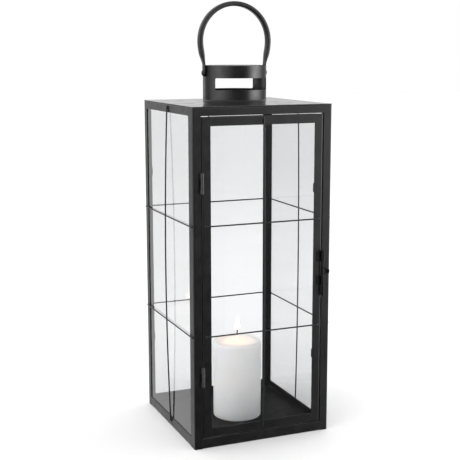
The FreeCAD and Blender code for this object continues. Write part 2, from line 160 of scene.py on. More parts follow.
def lathe(profile: Array, count: int, wear: Optional[Array] = None) -> Surface:
    """Turned form: a point (r, z) of the profile goes round as (r cos a, r sin a, z).

    Args:
        profile: radius and height of each point, from one pole or lip to the other.
        count: faces round the axis.
        wear: one value per point of the profile.

    Returns:
        The surface about the Z axis, its poles closed.
    """
    c, s = circle(count)
    radius, height = profile[:, 0, None], profile[:, 1, None]
    points = np.stack([radius * c, radius * s, np.broadcast_to(height, (len(profile), count))], -1)
    values = None if wear is None else wear[:, None]
    return grid(points, around=True, wear=values).welded()


def carried(section: Array, origins: Array, first: Array, second: Array) -> Array:
    """Carry a section along a path: point = origin + u * first + v * second at every station.

    Args:
        section: (u, v) of each point, or one such list per station.
        origins: the path's stations.
        first: unit vector of u, one for all stations or one each.
        second: unit vector of v, likewise.

    Returns:
        Array of stations, section points and 3 coordinates.
    """
    u, v = section[..., 0, None], section[..., 1, None]
    first = np.broadcast_to(first, origins.shape)[:, None, :]
    second = np.broadcast_to(second, origins.shape)[:, None, :]
    return origins[:, None, :] + u * first + v * second


def unit(vectors: Array) -> Array:
    """Vectors scaled to length one."""
    return vectors / np.linalg.norm(vectors, axis=-1, keepdims=True)


def bar(path: Callable[[Array], Array], length: float, radius: float, side: Array, sides: int = 14,
        spans: int = 24, end: float = 0.6) -> Surface:
    """Round bar with eased ends. Near an end, at depth d inside the easing e, the radius is
    radius * sqrt(1 - (1 - d / e)^2), and the rest is a full circle.

    Args:
        path: gives the centre line's points for shares from 0 to 1.
        length: length of the centre line.
        radius: radius of the bar.
        side: any vector that the line never runs along.
        sides: faces round the bar.
        spans: faces along the bar.
        end: easing's depth as a share of the radius.

    Returns:
        The closed surface.
    """
    depth = end * radius
    ease = depth * (1.0 - np.cos(np.linspace(0.0, np.pi / 2, 5)))
    run = np.linspace(depth, length - depth, spans + 1)[1:-1]
    place = np.concatenate([ease, run, length - ease[::-1]])
    inside = np.clip(np.minimum(place, length - place) / depth, 0.0, 1.0)
    swell = radius * np.sqrt(np.clip(1.0 - (1.0 - inside) ** 2, 0.0, 1.0))
    centres = path(place / length)
    step = 1e-4
    shares = np.clip(place / length, step, 1.0 - step)
    tangent = unit(path(shares + step) - path(shares - step))
    first = unit(np.cross(tangent, side))
    second = np.cross(tangent, first)
    c, s = circle(sides)
    section = np.stack([swell[:, None] * c, swell[:, None] * s], -1)
    return grid(carried(section, centres, first, second), around=True).welded().outward()


def straight(start: Array, end: Array) -> tuple[Callable[[Array], Array], float]:
    """Centre line from start to end: p(t) = start + t (end - start). Returns it with its length."""
    return lambda t: start + t[:, None] * (end - start), float(np.linalg.norm(end - start))


def ball(centre: Array, radii: Array, rows: int = 8, columns: int = 14) -> Surface:
    """Ellipsoid: centre + radii * (sin b cos a, sin b sin a, cos b)."""
    b = np.linspace(0.0, np.pi, rows + 1)[:, None]
    c, s = circle(columns)
    shape = np.stack([np.sin(b) * c, np.sin(b) * s, np.broadcast_to(np.cos(b), (rows + 1, columns))], -1)
    return grid(centre + radii * shape, around=True).welded().outward()


@dataclass(frozen=True)
class AngleSection:
    """Cross-section of folded sheet: two flanges and a rounded fold, from the fold's outer corner."""

    width: float
    depth: float
    sheet: float = SHEET
    fold: float = 1.5 * MM
    ease: float = 0.16 * MM
    band: float = 0.9 * MM
    steps: int = 5

    def flange(self, length: float) -> tuple[Array, Array, Array]:
        """Places along one flange from its free edge to the fold, with the distance of its outer and
        inner side from the outer line, and the wear there.

        Args:
            length: the flange's length from the fold's outer corner.

        Returns:
            Rows of (along, out), rows of (along, in) and the wear values.
        """
        e, t = self.ease, self.sheet
        along = np.array([length, length - e, length - self.band, self.fold + self.band])
        outer = np.stack([along, np.array([e, 0.0, 0.0, 0.0])], -1)
        inner = np.stack([along, np.array([t - e, t, t, t])], -1)
        return outer, inner, np.array([1.0, 1.0, 0.0, 0.0])

    def sides(self) -> tuple[Array, Array, Array]:
        """Outer and inner side of the whole section, point for point, and the wear of each pair."""
        outer_u, inner_u, wear_u = self.flange(self.width)
        outer_v, inner_v, wear_v = self.flange(self.depth)
        turn = np.linspace(np.pi, 1.5 * np.pi, self.steps + 1)
        spoke = np.stack([np.cos(turn), np.sin(turn)], -1)
        hub = self.fold
        outer = np.concatenate([outer_v[:, ::-1], hub + self.fold * spoke, outer_u[::-1]])
        inner = np.concatenate([inner_v[:, ::-1], hub + (self.fold - self.sheet) * spoke, inner_u[::-1]])
        worn = np.sin(np.linspace(0.0, np.pi, self.steps + 1))
        return outer, inner, np.concatenate([wear_v, worn, wear_u[::-1]])

    def bar(self, corner: Array, u: Array, v: Array, end: Array) -> Surface:
        """Length of the section: corner + a u + b v, carried straight to the end. The two ends are
        closed with faces between the outer and the inner side.

        Args:
            corner: the fold's outer corner at the start.
            u: direction of the width flange.
            v: direction of the depth flange.
            end: the fold's outer corner at the end.

        Returns:
            The closed surface.
        """
        outer, inner, worn = self.sides()
        run = end - corner
        length = np.linalg.norm(run)
        stops = np.array([0.0, self.band, *np.linspace(0.0, length, 13)[1:-1], length - self.band, length])
        origins = corner + (stops / length)[:, None] * run
        ends = np.array([1.0, 0.0] + [0.0] * 11 + [0.0, 1.0])
        loop = np.concatenate([outer, inner[::-1]])
        values = np.maximum(ends[:, None], np.concatenate([worn, worn[::-1]])[None, :])
        shell = grid(carried(loop, origins, u, v), around=True, wear=values)
        caps = []
        for origin in (origins[0], origins[-1]):
            pair = np.stack([carried(side, origin[None], u, v)[0] for side in (outer, inner)])
            caps.append(grid(pair, wear=np.ones((2, len(outer)))))
        first = replace(caps[0], faces=caps[0].faces[:, ::-1])
        return Surface.join([shell, first, caps[1]]).welded().outward()


# ---- pieces ---------------------------------------------------------------------------------
def corners(node: str) -> tuple[Array, Array]:
    """Lowest and highest corner of a CAD node at rest."""
    low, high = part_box(node)
    return np.array(low), np.array(high)


def dress(obj: bpy.types.Object, material: bpy.types.Material) -> None:
    """Put one material on an object.

    Args:
        obj: the piece or CAD node.
        material: its finish.
    """
    obj.data.materials.clear()
    obj.data.materials.append(material)
    for holder in obj.material_slots:
        holder.link = "OBJECT"
        holder.material = material


def make_piece(name: str, surface: Surface, body: Body, finish: "Finish", sharp: float = 40.0,
               nodes: Sequence[str] = ()) -> bpy.types.Object:
    """Turn a surface into an object that rides on a body.

    Args:
        name: the piece's name.
        surface: its shape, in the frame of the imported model.
        body: the body it rides on.
        finish: what it is coated with or made of.
        sharp: edges with a greater angle, in degrees, stay sharp.
        nodes: the CAD nodes that it stands for.

    Returns:
        The object.
    """
    rows = surface.faces
    same = rows == np.roll(rows, -1, axis=1)
    kept = rows[same.sum(axis=1) < 2]
    polygons = [[p for k, p in enumerate(row) if p != row[k - 1]] for row in kept.tolist()]
    mesh = bpy.data.meshes.new(name)
    mesh.from_pydata(surface.points.tolist(), [], polygons)
    mesh.polygons.foreach_set("use_smooth", np.ones(len(mesh.polygons), bool))
    worn = mesh.attributes.new("wear", "FLOAT", "POINT")
    worn.data.foreach_set("value", surface.wear.astype(np.float32))
    mesh.update()
    mesh.set_sharp_from_angle(angle=math.radians(sharp))
    obj = bpy.data.objects.new(name, mesh)
    bpy.context.scene.collection.objects.link(obj)
    dress(obj, finish.material())
    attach(obj, body.value)
    if nodes:
        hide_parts(*nodes)
    LOG.info("%s: %d faces on %s", name, len(mesh.polygons), body.value)
    return obj


def smooth_copy(node: str, body: Body, finish: "Finish", bevel: float = 0.0) -> bpy.types.Object:
    """Copy of a CAD node with its triangles merged, its round stretches shaded smooth and, when a bevel is
    given, its edges eased.

    Args:
        node: the CAD node it stands for.
        body: the body it rides on.
        finish: what it is coated with.
        bevel: width of the eased edges, 0 for none.

    Returns:
        The object, named after the node with "_worn" behind it.
    """
    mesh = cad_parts[node].data.copy()
    shell = bmesh.new()
    shell.from_mesh(mesh)
    bmesh.ops.remove_doubles(shell, verts=shell.verts, dist=1e-6)
    bmesh.ops.dissolve_limit(shell, angle_limit=math.radians(1.0), verts=shell.verts, edges=shell.edges)
    shell.to_mesh(mesh)
    shell.free()
    mesh.polygons.foreach_set("use_smooth", np.ones(len(mesh.polygons), bool))
    mesh.set_sharp_from_angle(angle=math.radians(32.0))
    obj = bpy.data.objects.new(f"{node}_worn", mesh)
    bpy.context.scene.collection.objects.link(obj)
    dress(obj, finish.material())
    if bevel > 0.0:
        edge = obj.modifiers.new("eased edges", "BEVEL")
        edge.width, edge.segments, edge.limit_method = bevel, 2, "ANGLE"
        edge.angle_limit = math.radians(50.0)
        edge.harden_normals = True
    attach(obj, body.value)
    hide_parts(node)
    LOG.info("%s: copy of %s on %s", obj.name, node, body.value)
    return obj


# ---- shader building ------------------------------------------------------------------------
class Graph:
    """Adds nodes to a tree and links them."""

    def __init__(self, tree: bpy.types.NodeTree) -> None:
        """Start with an empty tree."""
        self.tree = tree
        tree.nodes.clear()

    def add(self, kind: str, links: Optional[dict] = None, **settings: object) -> bpy.types.Node:
        """Add one node.

        Args:
            kind: the node's type, without "ShaderNode".
            links: for each input, by name or number, a plain value or another node's output.
            settings: the node's own properties.

        Returns:
            The node.
        """
        node = self.tree.nodes.new(kind if kind.startswith("Node") else "ShaderNode" + kind)
        for key, value in settings.items():
            setattr(node, key, value)
        for key, value in (links or {}).items():
            if isinstance(value, bpy.types.NodeSocket):
                self.tree.links.new(value, node.inputs[key])
            else:
                node.inputs[key].default_value = value
        return node

    def math(self, operation: str, a: object, b: object = 0.0, clamp: bool = False) -> bpy.types.NodeSocket:
        """Output of a Math node on one or two values."""
        return self.add("Math", {0: a, 1: b}, operation=operation, use_clamp=clamp).outputs[0]

    def span(self, value: bpy.types.NodeSocket, low: float, high: float, to_low: float = 0.0,
             to_high: float = 1.0) -> bpy.types.NodeSocket:
        """Output of a smooth Map Range node from low..high to to_low..to_high."""
        links = {"Value": value, "From Min": low, "From Max": high, "To Min": to_low, "To Max": to_high}
        return self.add("MapRange", links, interpolation_type="SMOOTHSTEP").outputs["Result"]

    def noise(self, scale: float, detail: float = 3.0, roughness: float = 0.55,
              vector: Optional[bpy.types.NodeSocket] = None) -> bpy.types.NodeSocket:
        """Output of a Noise Texture on Object coordinates, scale in cells per metre."""
        place = vector or self.add("TexCoord").outputs["Object"]
        links = {"Vector": place, "Scale": scale, "Detail": detail, "Roughness": roughness}
        return self.add("TexNoise", links).outputs["Fac"]

    def mix(self, share: object, a: object, b: object) -> bpy.types.NodeSocket:
        """Colour between a and b."""
        node = self.add("Mix", {0: share}, data_type="RGBA")
        for socket, value in ((node.inputs[6], a), (node.inputs[7], b)):
            if isinstance(value, bpy.types.NodeSocket):
                self.tree.links.new(value, socket)
            else:
                socket.default_value = (*value, 1.0)
        return node.outputs[2]

    def scaled(self, colour: bpy.types.NodeSocket, factor: object) -> bpy.types.NodeSocket:
        """Colour times a number or times another node's output."""
        times = factor if isinstance(factor, bpy.types.NodeSocket) else (factor,) * 3
        return self.add("VectorMath", {0: colour, 1: times}, operation="MULTIPLY").outputs[0]

    def ramp(self, place: bpy.types.NodeSocket, stops: Sequence[tuple[float, float]], peak: float,
             easing: str) -> bpy.types.NodeSocket:
        """Grey that runs through (place, level) stops, none of them over the peak.

        Args:
            place: position on the ramp, 0 to 1.
            stops: positions and their levels.
            peak: level that the ramp's white stands for.
            easing: the ramp's interpolation.

        Returns:
            The level as a colour.
        """
        node = self.add("ValToRGB", {0: place})
        node.color_ramp.interpolation = easing
        while len(node.color_ramp.elements) < len(stops):
            node.color_ramp.elements.new(0.5)
        for element, (position, level) in zip(node.color_ramp.elements, stops):
            element.position = position
            element.color = (*(level / peak,) * 3, 1.0)
        return self.scaled(node.outputs[0], peak)


class Effect(Enum):
    """Shader groups that several finishes share."""

    EDGE_WEAR = "edge wear"
    COAT_GRAIN = "coat grain"
    DUST = "dust"

    def group(self) -> bpy.types.NodeTree:
        """The group's tree, made the first time it is asked for."""
        found = bpy.data.node_groups.get(self.value)
        return found or {"edge wear": edge_wear, "coat grain": coat_grain, "dust": dust}[self.value]()


def new_group(name: str, inputs: dict[str, float], outputs: Sequence[str]
              ) -> tuple[Graph, dict, bpy.types.Node]:
    """Make an empty shader group with named float sockets.

    Args:
        name: the group's name.
        inputs: the inputs and their usual values.
        outputs: the outputs.

    Returns:
        Its graph, its input sockets by name and its output node.
    """
    tree = bpy.data.node_groups.new(name, "ShaderNodeTree")
    for label, value in inputs.items():
        tree.interface.new_socket(label, in_out="INPUT", socket_type="NodeSocketFloat").default_value = value
    for label in outputs:
        tree.interface.new_socket(label, in_out="OUTPUT", socket_type="NodeSocketFloat")
    graph = Graph(tree)
    entry, leave = graph.add("NodeGroupInput"), graph.add("NodeGroupOutput")
    return graph, {label: entry.outputs[label] for label in inputs}, leave


def edge_wear() -> bpy.types.NodeTree:
    """Rubbed edges: the piece's wear value broken up by noise. Mask is 1 where the coat is rubbed."""
    graph, inputs, leave = new_group("edge wear", {"Amount": 0.5, "Scale": 900.0}, ["Mask"])
    worn = graph.add("Attribute", attribute_name="wear", attribute_type="GEOMETRY").outputs["Fac"]
    noise = graph.noise(1.0)
    graph.tree.links.new(inputs["Scale"], noise.node.inputs["Scale"])
    chip = graph.span(noise, 0.42, 0.66)
    rubbed = graph.math("MULTIPLY", worn, chip)
    graph.tree.links.new(graph.math("MULTIPLY", rubbed, inputs["Amount"], clamp=True), leave.inputs["Mask"])
    return graph.tree


def coat_grain() -> bpy.types.NodeTree:
    """Powder coat's pebbled skin over slow swells. Height is for a Bump, Mottle for colour and gloss."""
    graph, inputs, leave = new_group("coat grain", {"Scale": 1400.0}, ["Height", "Mottle"])
    fine = graph.noise(1.0, detail=2.0)
    graph.tree.links.new(inputs["Scale"], fine.node.inputs["Scale"])
    slow = graph.noise(1.0, detail=1.0)
    graph.tree.links.new(graph.math("MULTIPLY", inputs["Scale"], 0.16), slow.node.inputs["Scale"])
    height = graph.math("ADD", graph.math("MULTIPLY", fine, 0.45), graph.math("MULTIPLY", slow, 0.55))
    graph.tree.links.new(height, leave.inputs["Height"])
    graph.tree.links.new(graph.noise(70.0, detail=5.0, roughness=0.65), leave.inputs["Mottle"])
    return graph.tree


def dust() -> bpy.types.NodeTree:
    """Dust on surfaces that face up: the normal's Z, thinned by noise. Mask is 1 under thick dust."""
    graph, inputs, leave = new_group("dust", {"Amount": 0.3}, ["Mask"])
    normal = graph.add("NewGeometry").outputs["Normal"]
    up = graph.add("SeparateXYZ", {0: normal}).outputs["Z"]
    lying = graph.span(up, 0.55, 0.98)
    patches = graph.span(graph.noise(260.0, detail=6.0, roughness=0.7), 0.38, 0.72)
    mask = graph.math("MULTIPLY", graph.math("MULTIPLY", lying, patches), inputs["Amount"], clamp=True)
    graph.tree.links.new(mask, leave.inputs["Mask"])
    return graph.tree


# ---- finishes -------------------------------------------------------------------------------
@dataclass(frozen=True)
class Finish:
    """A finish by name; its material is made once."""

    name: str

    def material(self) -> bpy.types.Material:
        """The finish's material, made the first time it is asked for."""
        found = bpy.data.materials.get(self.name)
        if found:
            return found
        material = bpy.data.materials.new(self.name)
        material.use_nodes = True
        graph = Graph(material.node_tree)
        shader = graph.add("BsdfPrincipled")
        output = graph.add("OutputMaterial")
        graph.tree.links.new(shader.outputs[0], output.inputs[0])
        self.paint(graph, shader)
        return material

    def paint(self, graph: Graph, shader: bpy.types.Node) -> None:
        """Add the finish's own nodes. Each kind of finish has its own."""
        raise NotImplementedError

    def bump(self, graph: Graph, shader: bpy.types.Node, height: bpy.types.NodeSocket, distance: float,
             strength: float = 1.0) -> None:
        """Feed the shader's normal from a height.

        Args:
            graph: the material's graph.
            shader: the shader that gets the normal.
            height: the height, about 0 to 1.
            distance: depth of the relief in metres.
            strength: strength of the Bump node.
        """
        links = {"Height": height, "Distance": distance, "Strength": strength}
        graph.tree.links.new(graph.add("Bump", links).outputs[0], shader.inputs["Normal"])


@dataclass(frozen=True)
class PowderCoat(Finish):
    """Black powder coat over steel, a little rubbed at its edges, with some dust on top."""

    colour: Colour = (0.0018, 0.0019, 0.0022)
    bare: Colour = (0.16, 0.155, 0.15)
    gloss: float = 0.34
    ior: float = 1.45
    grain: float = 1500.0
    relief: float = 0.02 * MM
    wear: float = 0.4
    dust: float = 0.08
    specular: float = 0.5

    def paint(self, graph: Graph, shader: bpy.types.Node) -> None:
        """Mottled black, lighter where it is rubbed or dusty, with the coat's pebbled skin."""
        grain = graph.add("Group", {}, node_tree=Effect.COAT_GRAIN.group())
        grain.inputs["Scale"].default_value = self.grain
        wear = graph.add("Group", {}, node_tree=Effect.EDGE_WEAR.group())
        wear.inputs["Amount"].default_value = self.wear
        film = graph.add("Group", {}, node_tree=Effect.DUST.group())
        film.inputs["Amount"].default_value = self.dust
        deep = tuple(0.72 * part for part in self.colour)
        pale = tuple(1.3 * part for part in self.colour)
        coat = graph.mix(graph.span(grain.outputs["Mottle"], 0.3, 0.7), deep, pale)
        rubbed = graph.mix(wear.outputs["Mask"], coat, self.bare)
        dusty = graph.mix(film.outputs["Mask"], rubbed, (0.35, 0.34, 0.32))
        graph.tree.links.new(dusty, shader.inputs["Base Color"])
        graph.tree.links.new(graph.math("MULTIPLY", wear.outputs["Mask"], 0.8), shader.inputs["Metallic"])
        low, high = self.gloss - 0.045, self.gloss + 0.06
        rough = graph.span(grain.outputs["Mottle"], 0.3, 0.72, low, high)
        rough = graph.math("ADD", rough, graph.math("MULTIPLY", film.outputs["Mask"], 0.35), clamp=True)
        graph.tree.links.new(rough, shader.inputs["Roughness"])
        shader.inputs["IOR"].default_value = self.ior
        shader.inputs["Specular IOR Level"].default_value = self.specular
        self.bump(graph, shader, grain.outputs["Height"], self.relief)


@dataclass(frozen=True)
class Glass(Finish):
    """Clear float glass."""

    tint: Colour = (0.98, 0.984, 0.99)
    ior: float = 1.5

    def paint(self, graph: Graph, shader: bpy.types.Node) -> None:
        """Plain transmission, with a faint film of smears in the roughness."""
        shader.inputs["Base Color"].default_value = (*self.tint, 1.0)
        shader.inputs["Transmission Weight"].default_value = 1.0
        shader.inputs["IOR"].default_value = self.ior
        smears = graph.span(graph.noise(28.0, detail=4.0, roughness=0.6), 0.5, 0.85, 0.0, 0.03)
        graph.tree.links.new(smears, shader.inputs["Roughness"])


@dataclass(frozen=True)
class Wax(Finish):
    """Candle wax that lets light in, with a painted warm glow round the flame."""

    colour: Colour = (0.93, 0.93, 0.925)
    warm: Colour = (1.0, 0.78, 0.7)
    flame_foot: tuple[float, float, float] = (0.0, 0.0, 0.0)
    glow_reach: float = 40.0 * MM
    glow: float = 0.22

    def paint(self, graph: Graph, shader: bpy.types.Node) -> None:
        """Milky scatter, soft mottling, and a painted glow from the flame in the emission, which fades with
        the distance from it.
        """
        place = graph.add("TexCoord").outputs["Object"]
        cloud = graph.noise(60.0, detail=4.0)
        bright = tuple(min(1.0, 1.04 * part) for part in self.colour)
        skin = graph.mix(graph.span(cloud, 0.3, 0.7), self.colour, bright)
        graph.tree.links.new(skin, shader.inputs["Base Color"])
        # Painted light: emission near the flame paints the flame's warm light onto the wax, fading out by
        # glow_reach.
        away = graph.add("VectorMath", {0: place, 1: self.flame_foot}, operation="DISTANCE").outputs["Value"]
        near = graph.span(away, self.glow_reach, 2.0 * MM)
        hot = graph.mix(graph.math("POWER", near, 1.6), self.warm, (1.0, 0.9, 0.7))
        lit = graph.mix(near, (0.0, 0.0, 0.0), hot)
        graph.tree.links.new(lit, shader.inputs["Emission Color"])
        shader.inputs["Emission Strength"].default_value = self.glow
        shader.inputs["Roughness"].default_value = 0.42
        shader.inputs["IOR"].default_value = 1.43
        shader.inputs["Subsurface Weight"].default_value = 0.6
        shader.inputs["Subsurface Radius"].default_value = (1.0, 0.75, 0.55)
        shader.inputs["Subsurface Scale"].default_value = 6.0 * MM
        dimples = graph.noise(420.0, detail=3.0)
        self.bump(graph, shader, dimples, 0.06 * MM)


@dataclass(frozen=True)
class MoltenWax(Finish):
    """Clear pool of molten wax, with a painted glow from the flame."""

    warm: Colour = (1.0, 0.56, 0.44)
    flame_foot: tuple[float, float, float] = (0.0, 0.0, 0.0)
    reach: float = 27.0 * MM

    def paint(self, graph: Graph, shader: bpy.types.Node) -> None:
        """Milky, with painted light: the colour is painted pale yellow at the wick, and the emission paints a
        glow, pale yellow at the wick, faintly pink further out and grey over the rest.
        """
        place = graph.add("TexCoord").outputs["Object"]
        away = graph.add("VectorMath", {0: place, 1: self.flame_foot}, operation="DISTANCE").outputs["Value"]
        near = graph.span(away, self.reach, 3.0 * MM)
        # Painted light: the warmer colour near the wick stands in for the flame's light on the pool.
        skin = graph.mix(near, (0.94, 0.93, 0.93), (0.97, 0.9, 0.78))
        graph.tree.links.new(skin, shader.inputs["Base Color"])
        # Painted light: the emission lights the whole pool from within, most strongly at the wick.
        hot = graph.mix(graph.math("POWER", near, 3.0), self.warm, (1.0, 0.88, 0.6))
        lit = graph.mix(graph.math("POWER", near, 1.3), (0.3, 0.3, 0.3), hot)
        graph.tree.links.new(lit, shader.inputs["Emission Color"])
        shader.inputs["Emission Strength"].default_value = 0.36
        shader.inputs["Roughness"].default_value = 0.4
        shader.inputs["IOR"].default_value = 1.3


@dataclass(frozen=True)
class CharredCotton(Finish):
    """Braided wick, brown where the wax draws up it, black above, with a painted glow at its waxy foot and a
    faint glow at its tip.
    """

    foot: float = 0.0
    tip: float = 0.0

    def paint(self, graph: Graph, shader: bpy.types.Node) -> None:
        """Colour by height, broken up by the strands: waxy at the foot, where a glow is painted on, charred
        above.
        """
        place = graph.add("TexCoord").outputs["Object"]
        height = graph.add("SeparateXYZ", {0: place}).outputs["Z"]
        up = graph.span(height, self.foot, self.tip)
        ragged = graph.math("ADD", up, graph.math("MULTIPLY", graph.noise(1500.0), 0.12))
        burnt = graph.mix(graph.span(ragged, 0.72, 1.0), (0.16, 0.04, 0.02), (0.05, 0.018, 0.012))
        bare = graph.span(ragged, 0.48, 0.54)
        graph.tree.links.new(graph.mix(bare, (0.97, 0.9, 0.78), burnt), shader.inputs["Base Color"])
        # Painted light: the waxy foot emits a glow standing in for the flame's light on it; the charred part
        # emits only a faint ember glow.
        light = graph.mix(bare, (0.55, 0.45, 0.32), (0.02, 0.004, 0.0))
        graph.tree.links.new(light, shader.inputs["Emission Color"])
        shader.inputs["Emission Strength"].default_value = 0.8
        shader.inputs["Roughness"].default_value = 0.85
        self.bump(graph, shader, graph.noise(2600.0), 0.1 * MM)


@dataclass(frozen=True)
class Flame(Finish):
    """Burning gas: white in its middle, pale yellow at its edge, thin at its foot and tip."""

    foot: float = 0.0
    tip: float = 0.0
    strength: float = 1.5

    def paint(self, graph: Graph, shader: bpy.types.Node) -> None:
        """Light and opacity by height, and thinner where the surface turns away."""
        place = graph.add("TexCoord").outputs["Object"]
        height = graph.add("SeparateXYZ", {0: place}).outputs["Z"]
        up = graph.span(height, self.foot, self.tip)
        turned = graph.add("LayerWeight").outputs["Facing"]
        edge = graph.span(turned, 0.35, 1.0)
        light = graph.mix(edge, (1.0, 0.98, 0.93), (1.0, 0.84, 0.5))
        graph.tree.links.new(light, shader.inputs["Emission Color"])
        shader.inputs["Emission Strength"].default_value = self.strength
        shader.inputs["Base Color"].default_value = (0.0, 0.0, 0.0, 1.0)
        shader.inputs["Specular IOR Level"].default_value = 0.0
        ends = graph.math("MULTIPLY", graph.span(up, 0.0, 0.2, 0.15, 1.0), graph.span(up, 0.7, 1.0, 1.0, 0.3))
        solid = graph.math("MULTIPLY", ends, graph.span(turned, 0.4, 0.95, 0.95, 0.1))
        graph.tree.links.new(solid, shader.inputs["Alpha"])


FRAME_COAT = PowderCoat("frame_coat", wear=0.12)
ROOF_COAT = PowderCoat("roof_coat", gloss=0.2, relief=0.003 * MM, dust=0.05)
COLLAR_COAT = PowderCoat("collar_coat", gloss=0.32, relief=0.016 * MM)
HANDLE_COAT = PowderCoat("handle_coat", colour=(0.006, 0.0062, 0.0068), gloss=0.36, wear=0.55)
TRAY_COAT = PowderCoat("tray_coat", colour=(0.004, 0.0042, 0.0046), gloss=0.5, specular=0.2, dust=0.04)
WIRE_COAT = PowderCoat("wire_coat", colour=(0.006, 0.006, 0.0065), gloss=0.4, grain=2600.0)
# Painted highlight: the hinges' black coat is painted lighter than the frame's, standing in for their
# reflections.
HINGE_COAT = PowderCoat("hinge_coat", colour=(0.02, 0.02, 0.021), gloss=0.42, grain=2200.0, wear=0.7)
LATCH_COAT = PowderCoat("latch_coat", colour=(0.0015, 0.0015, 0.0017), gloss=0.38, specular=0.25,
                        grain=2200.0, wear=0.4)
CLIP_COAT = PowderCoat("clip_coat", colour=(0.01, 0.01, 0.011), gloss=0.45)
CLEAR_GLASS = Glass("float_glass")


# ---- frame ----------------------------------------------------------------------------------
@dataclass
class FrameAngles:
    """Corner posts and rails of folded sheet, with the weld beads where they meet."""

    finish: Finish
    fold: float = 1.5 * MM
    bead: float = 1.3 * MM

    def posts(self) -> None:
        """Four posts: the fold runs up the body's corner and each flange ends at the node's box."""
        for end in ("front", "back"):
            for side in ("left", "right"):
                node = f"corner_post_{end}_{side}"
                low, high = corners(node)
                sx, sy = (1.0 if side == "left" else -1.0), (1.0 if end == "front" else -1.0)
                foot = np.array([low[0] if sx > 0 else high[0], low[1] if sy > 0 else high[1], low[2]])
                section = AngleSection(high[0] - low[0], high[1] - low[1], fold=self.fold)
                top = foot + np.array([0.0, 0.0, high[2] - low[2]])
                bar_ = section.bar(foot, np.array([sx, 0.0, 0.0]), np.array([0.0, sy, 0.0]), top)
                make_piece(f"{node}_angle", bar_, Body.FRAME, self.finish, nodes=[node])

    def rails(self) -> None:
        """Eight rails: one flange stands in the face and the other is a shelf, turned inwards."""
        for face in Face:
            for level, up in (("top", -1.0), ("bottom", 1.0)):
                node = f"{level}_rail_{face.label}"
                make_piece(f"{node}_angle", self.rail(node, face, up), Body.FRAME, self.finish,
                           nodes=[node])

    def rail(self, node: str, face: Face, up: float) -> Surface:
        """One rail.

        Args:
            node: the CAD node that gives its box.
            face: the face it is in.
            up: 1 where the upright flange rises from the shelf, -1 where it hangs.

        Returns:
            The closed surface.
        """
        low, high = corners(node)
        out = face.out
        across = 1 if abs(out[1]) > 0.5 else 0
        along = 1 - across
        start = low.copy()
        start[across] = high[across] if out[across] > 0 else low[across]
        start[2] = low[2] if up > 0 else high[2]
        end = start.copy()
        end[along] = high[along]
        section = AngleSection(high[2] - low[2], high[across] - low[across], fold=self.fold)
        return section.bar(start, np.array([0.0, 0.0, up]), -out, end)

    def beads(self) -> None:
        """Small weld beads inside the corners, where the rails' shelves meet the posts."""
        drops = []
        for level in ("top", "bottom"):
            for face in Face:
                low, high = corners(f"{level}_rail_{face.label}")
                across = 1 if abs(face.out[1]) > 0.5 else 0
                along = 1 - across
                inner = (low if face.out[across] > 0 else high)[across]
                for place in (low[along], high[along]):
                    centre = np.zeros(3)
                    centre[across] = inner + 3.0 * MM * face.out[across]
                    centre[along] = place
                    centre[2] = high[2] - SHEET - 0.2 * MM if level == "top" else low[2] + SHEET + 0.2 * MM
                    radii = np.array([self.bead, self.bead, 0.5 * self.bead])
                    radii[across] *= 2.0
                    drops.append(ball(centre, radii))
        make_piece("frame_weld_beads", Surface.join(drops), Body.FRAME, self.finish)

    def build(self) -> None:
        """Make every piece of the frame."""
        self.posts()
        self.rails()
        self.beads()
        for side in ("left", "right"):
            smooth_copy(f"door_jamb_{side}", Body.FRAME, self.finish)


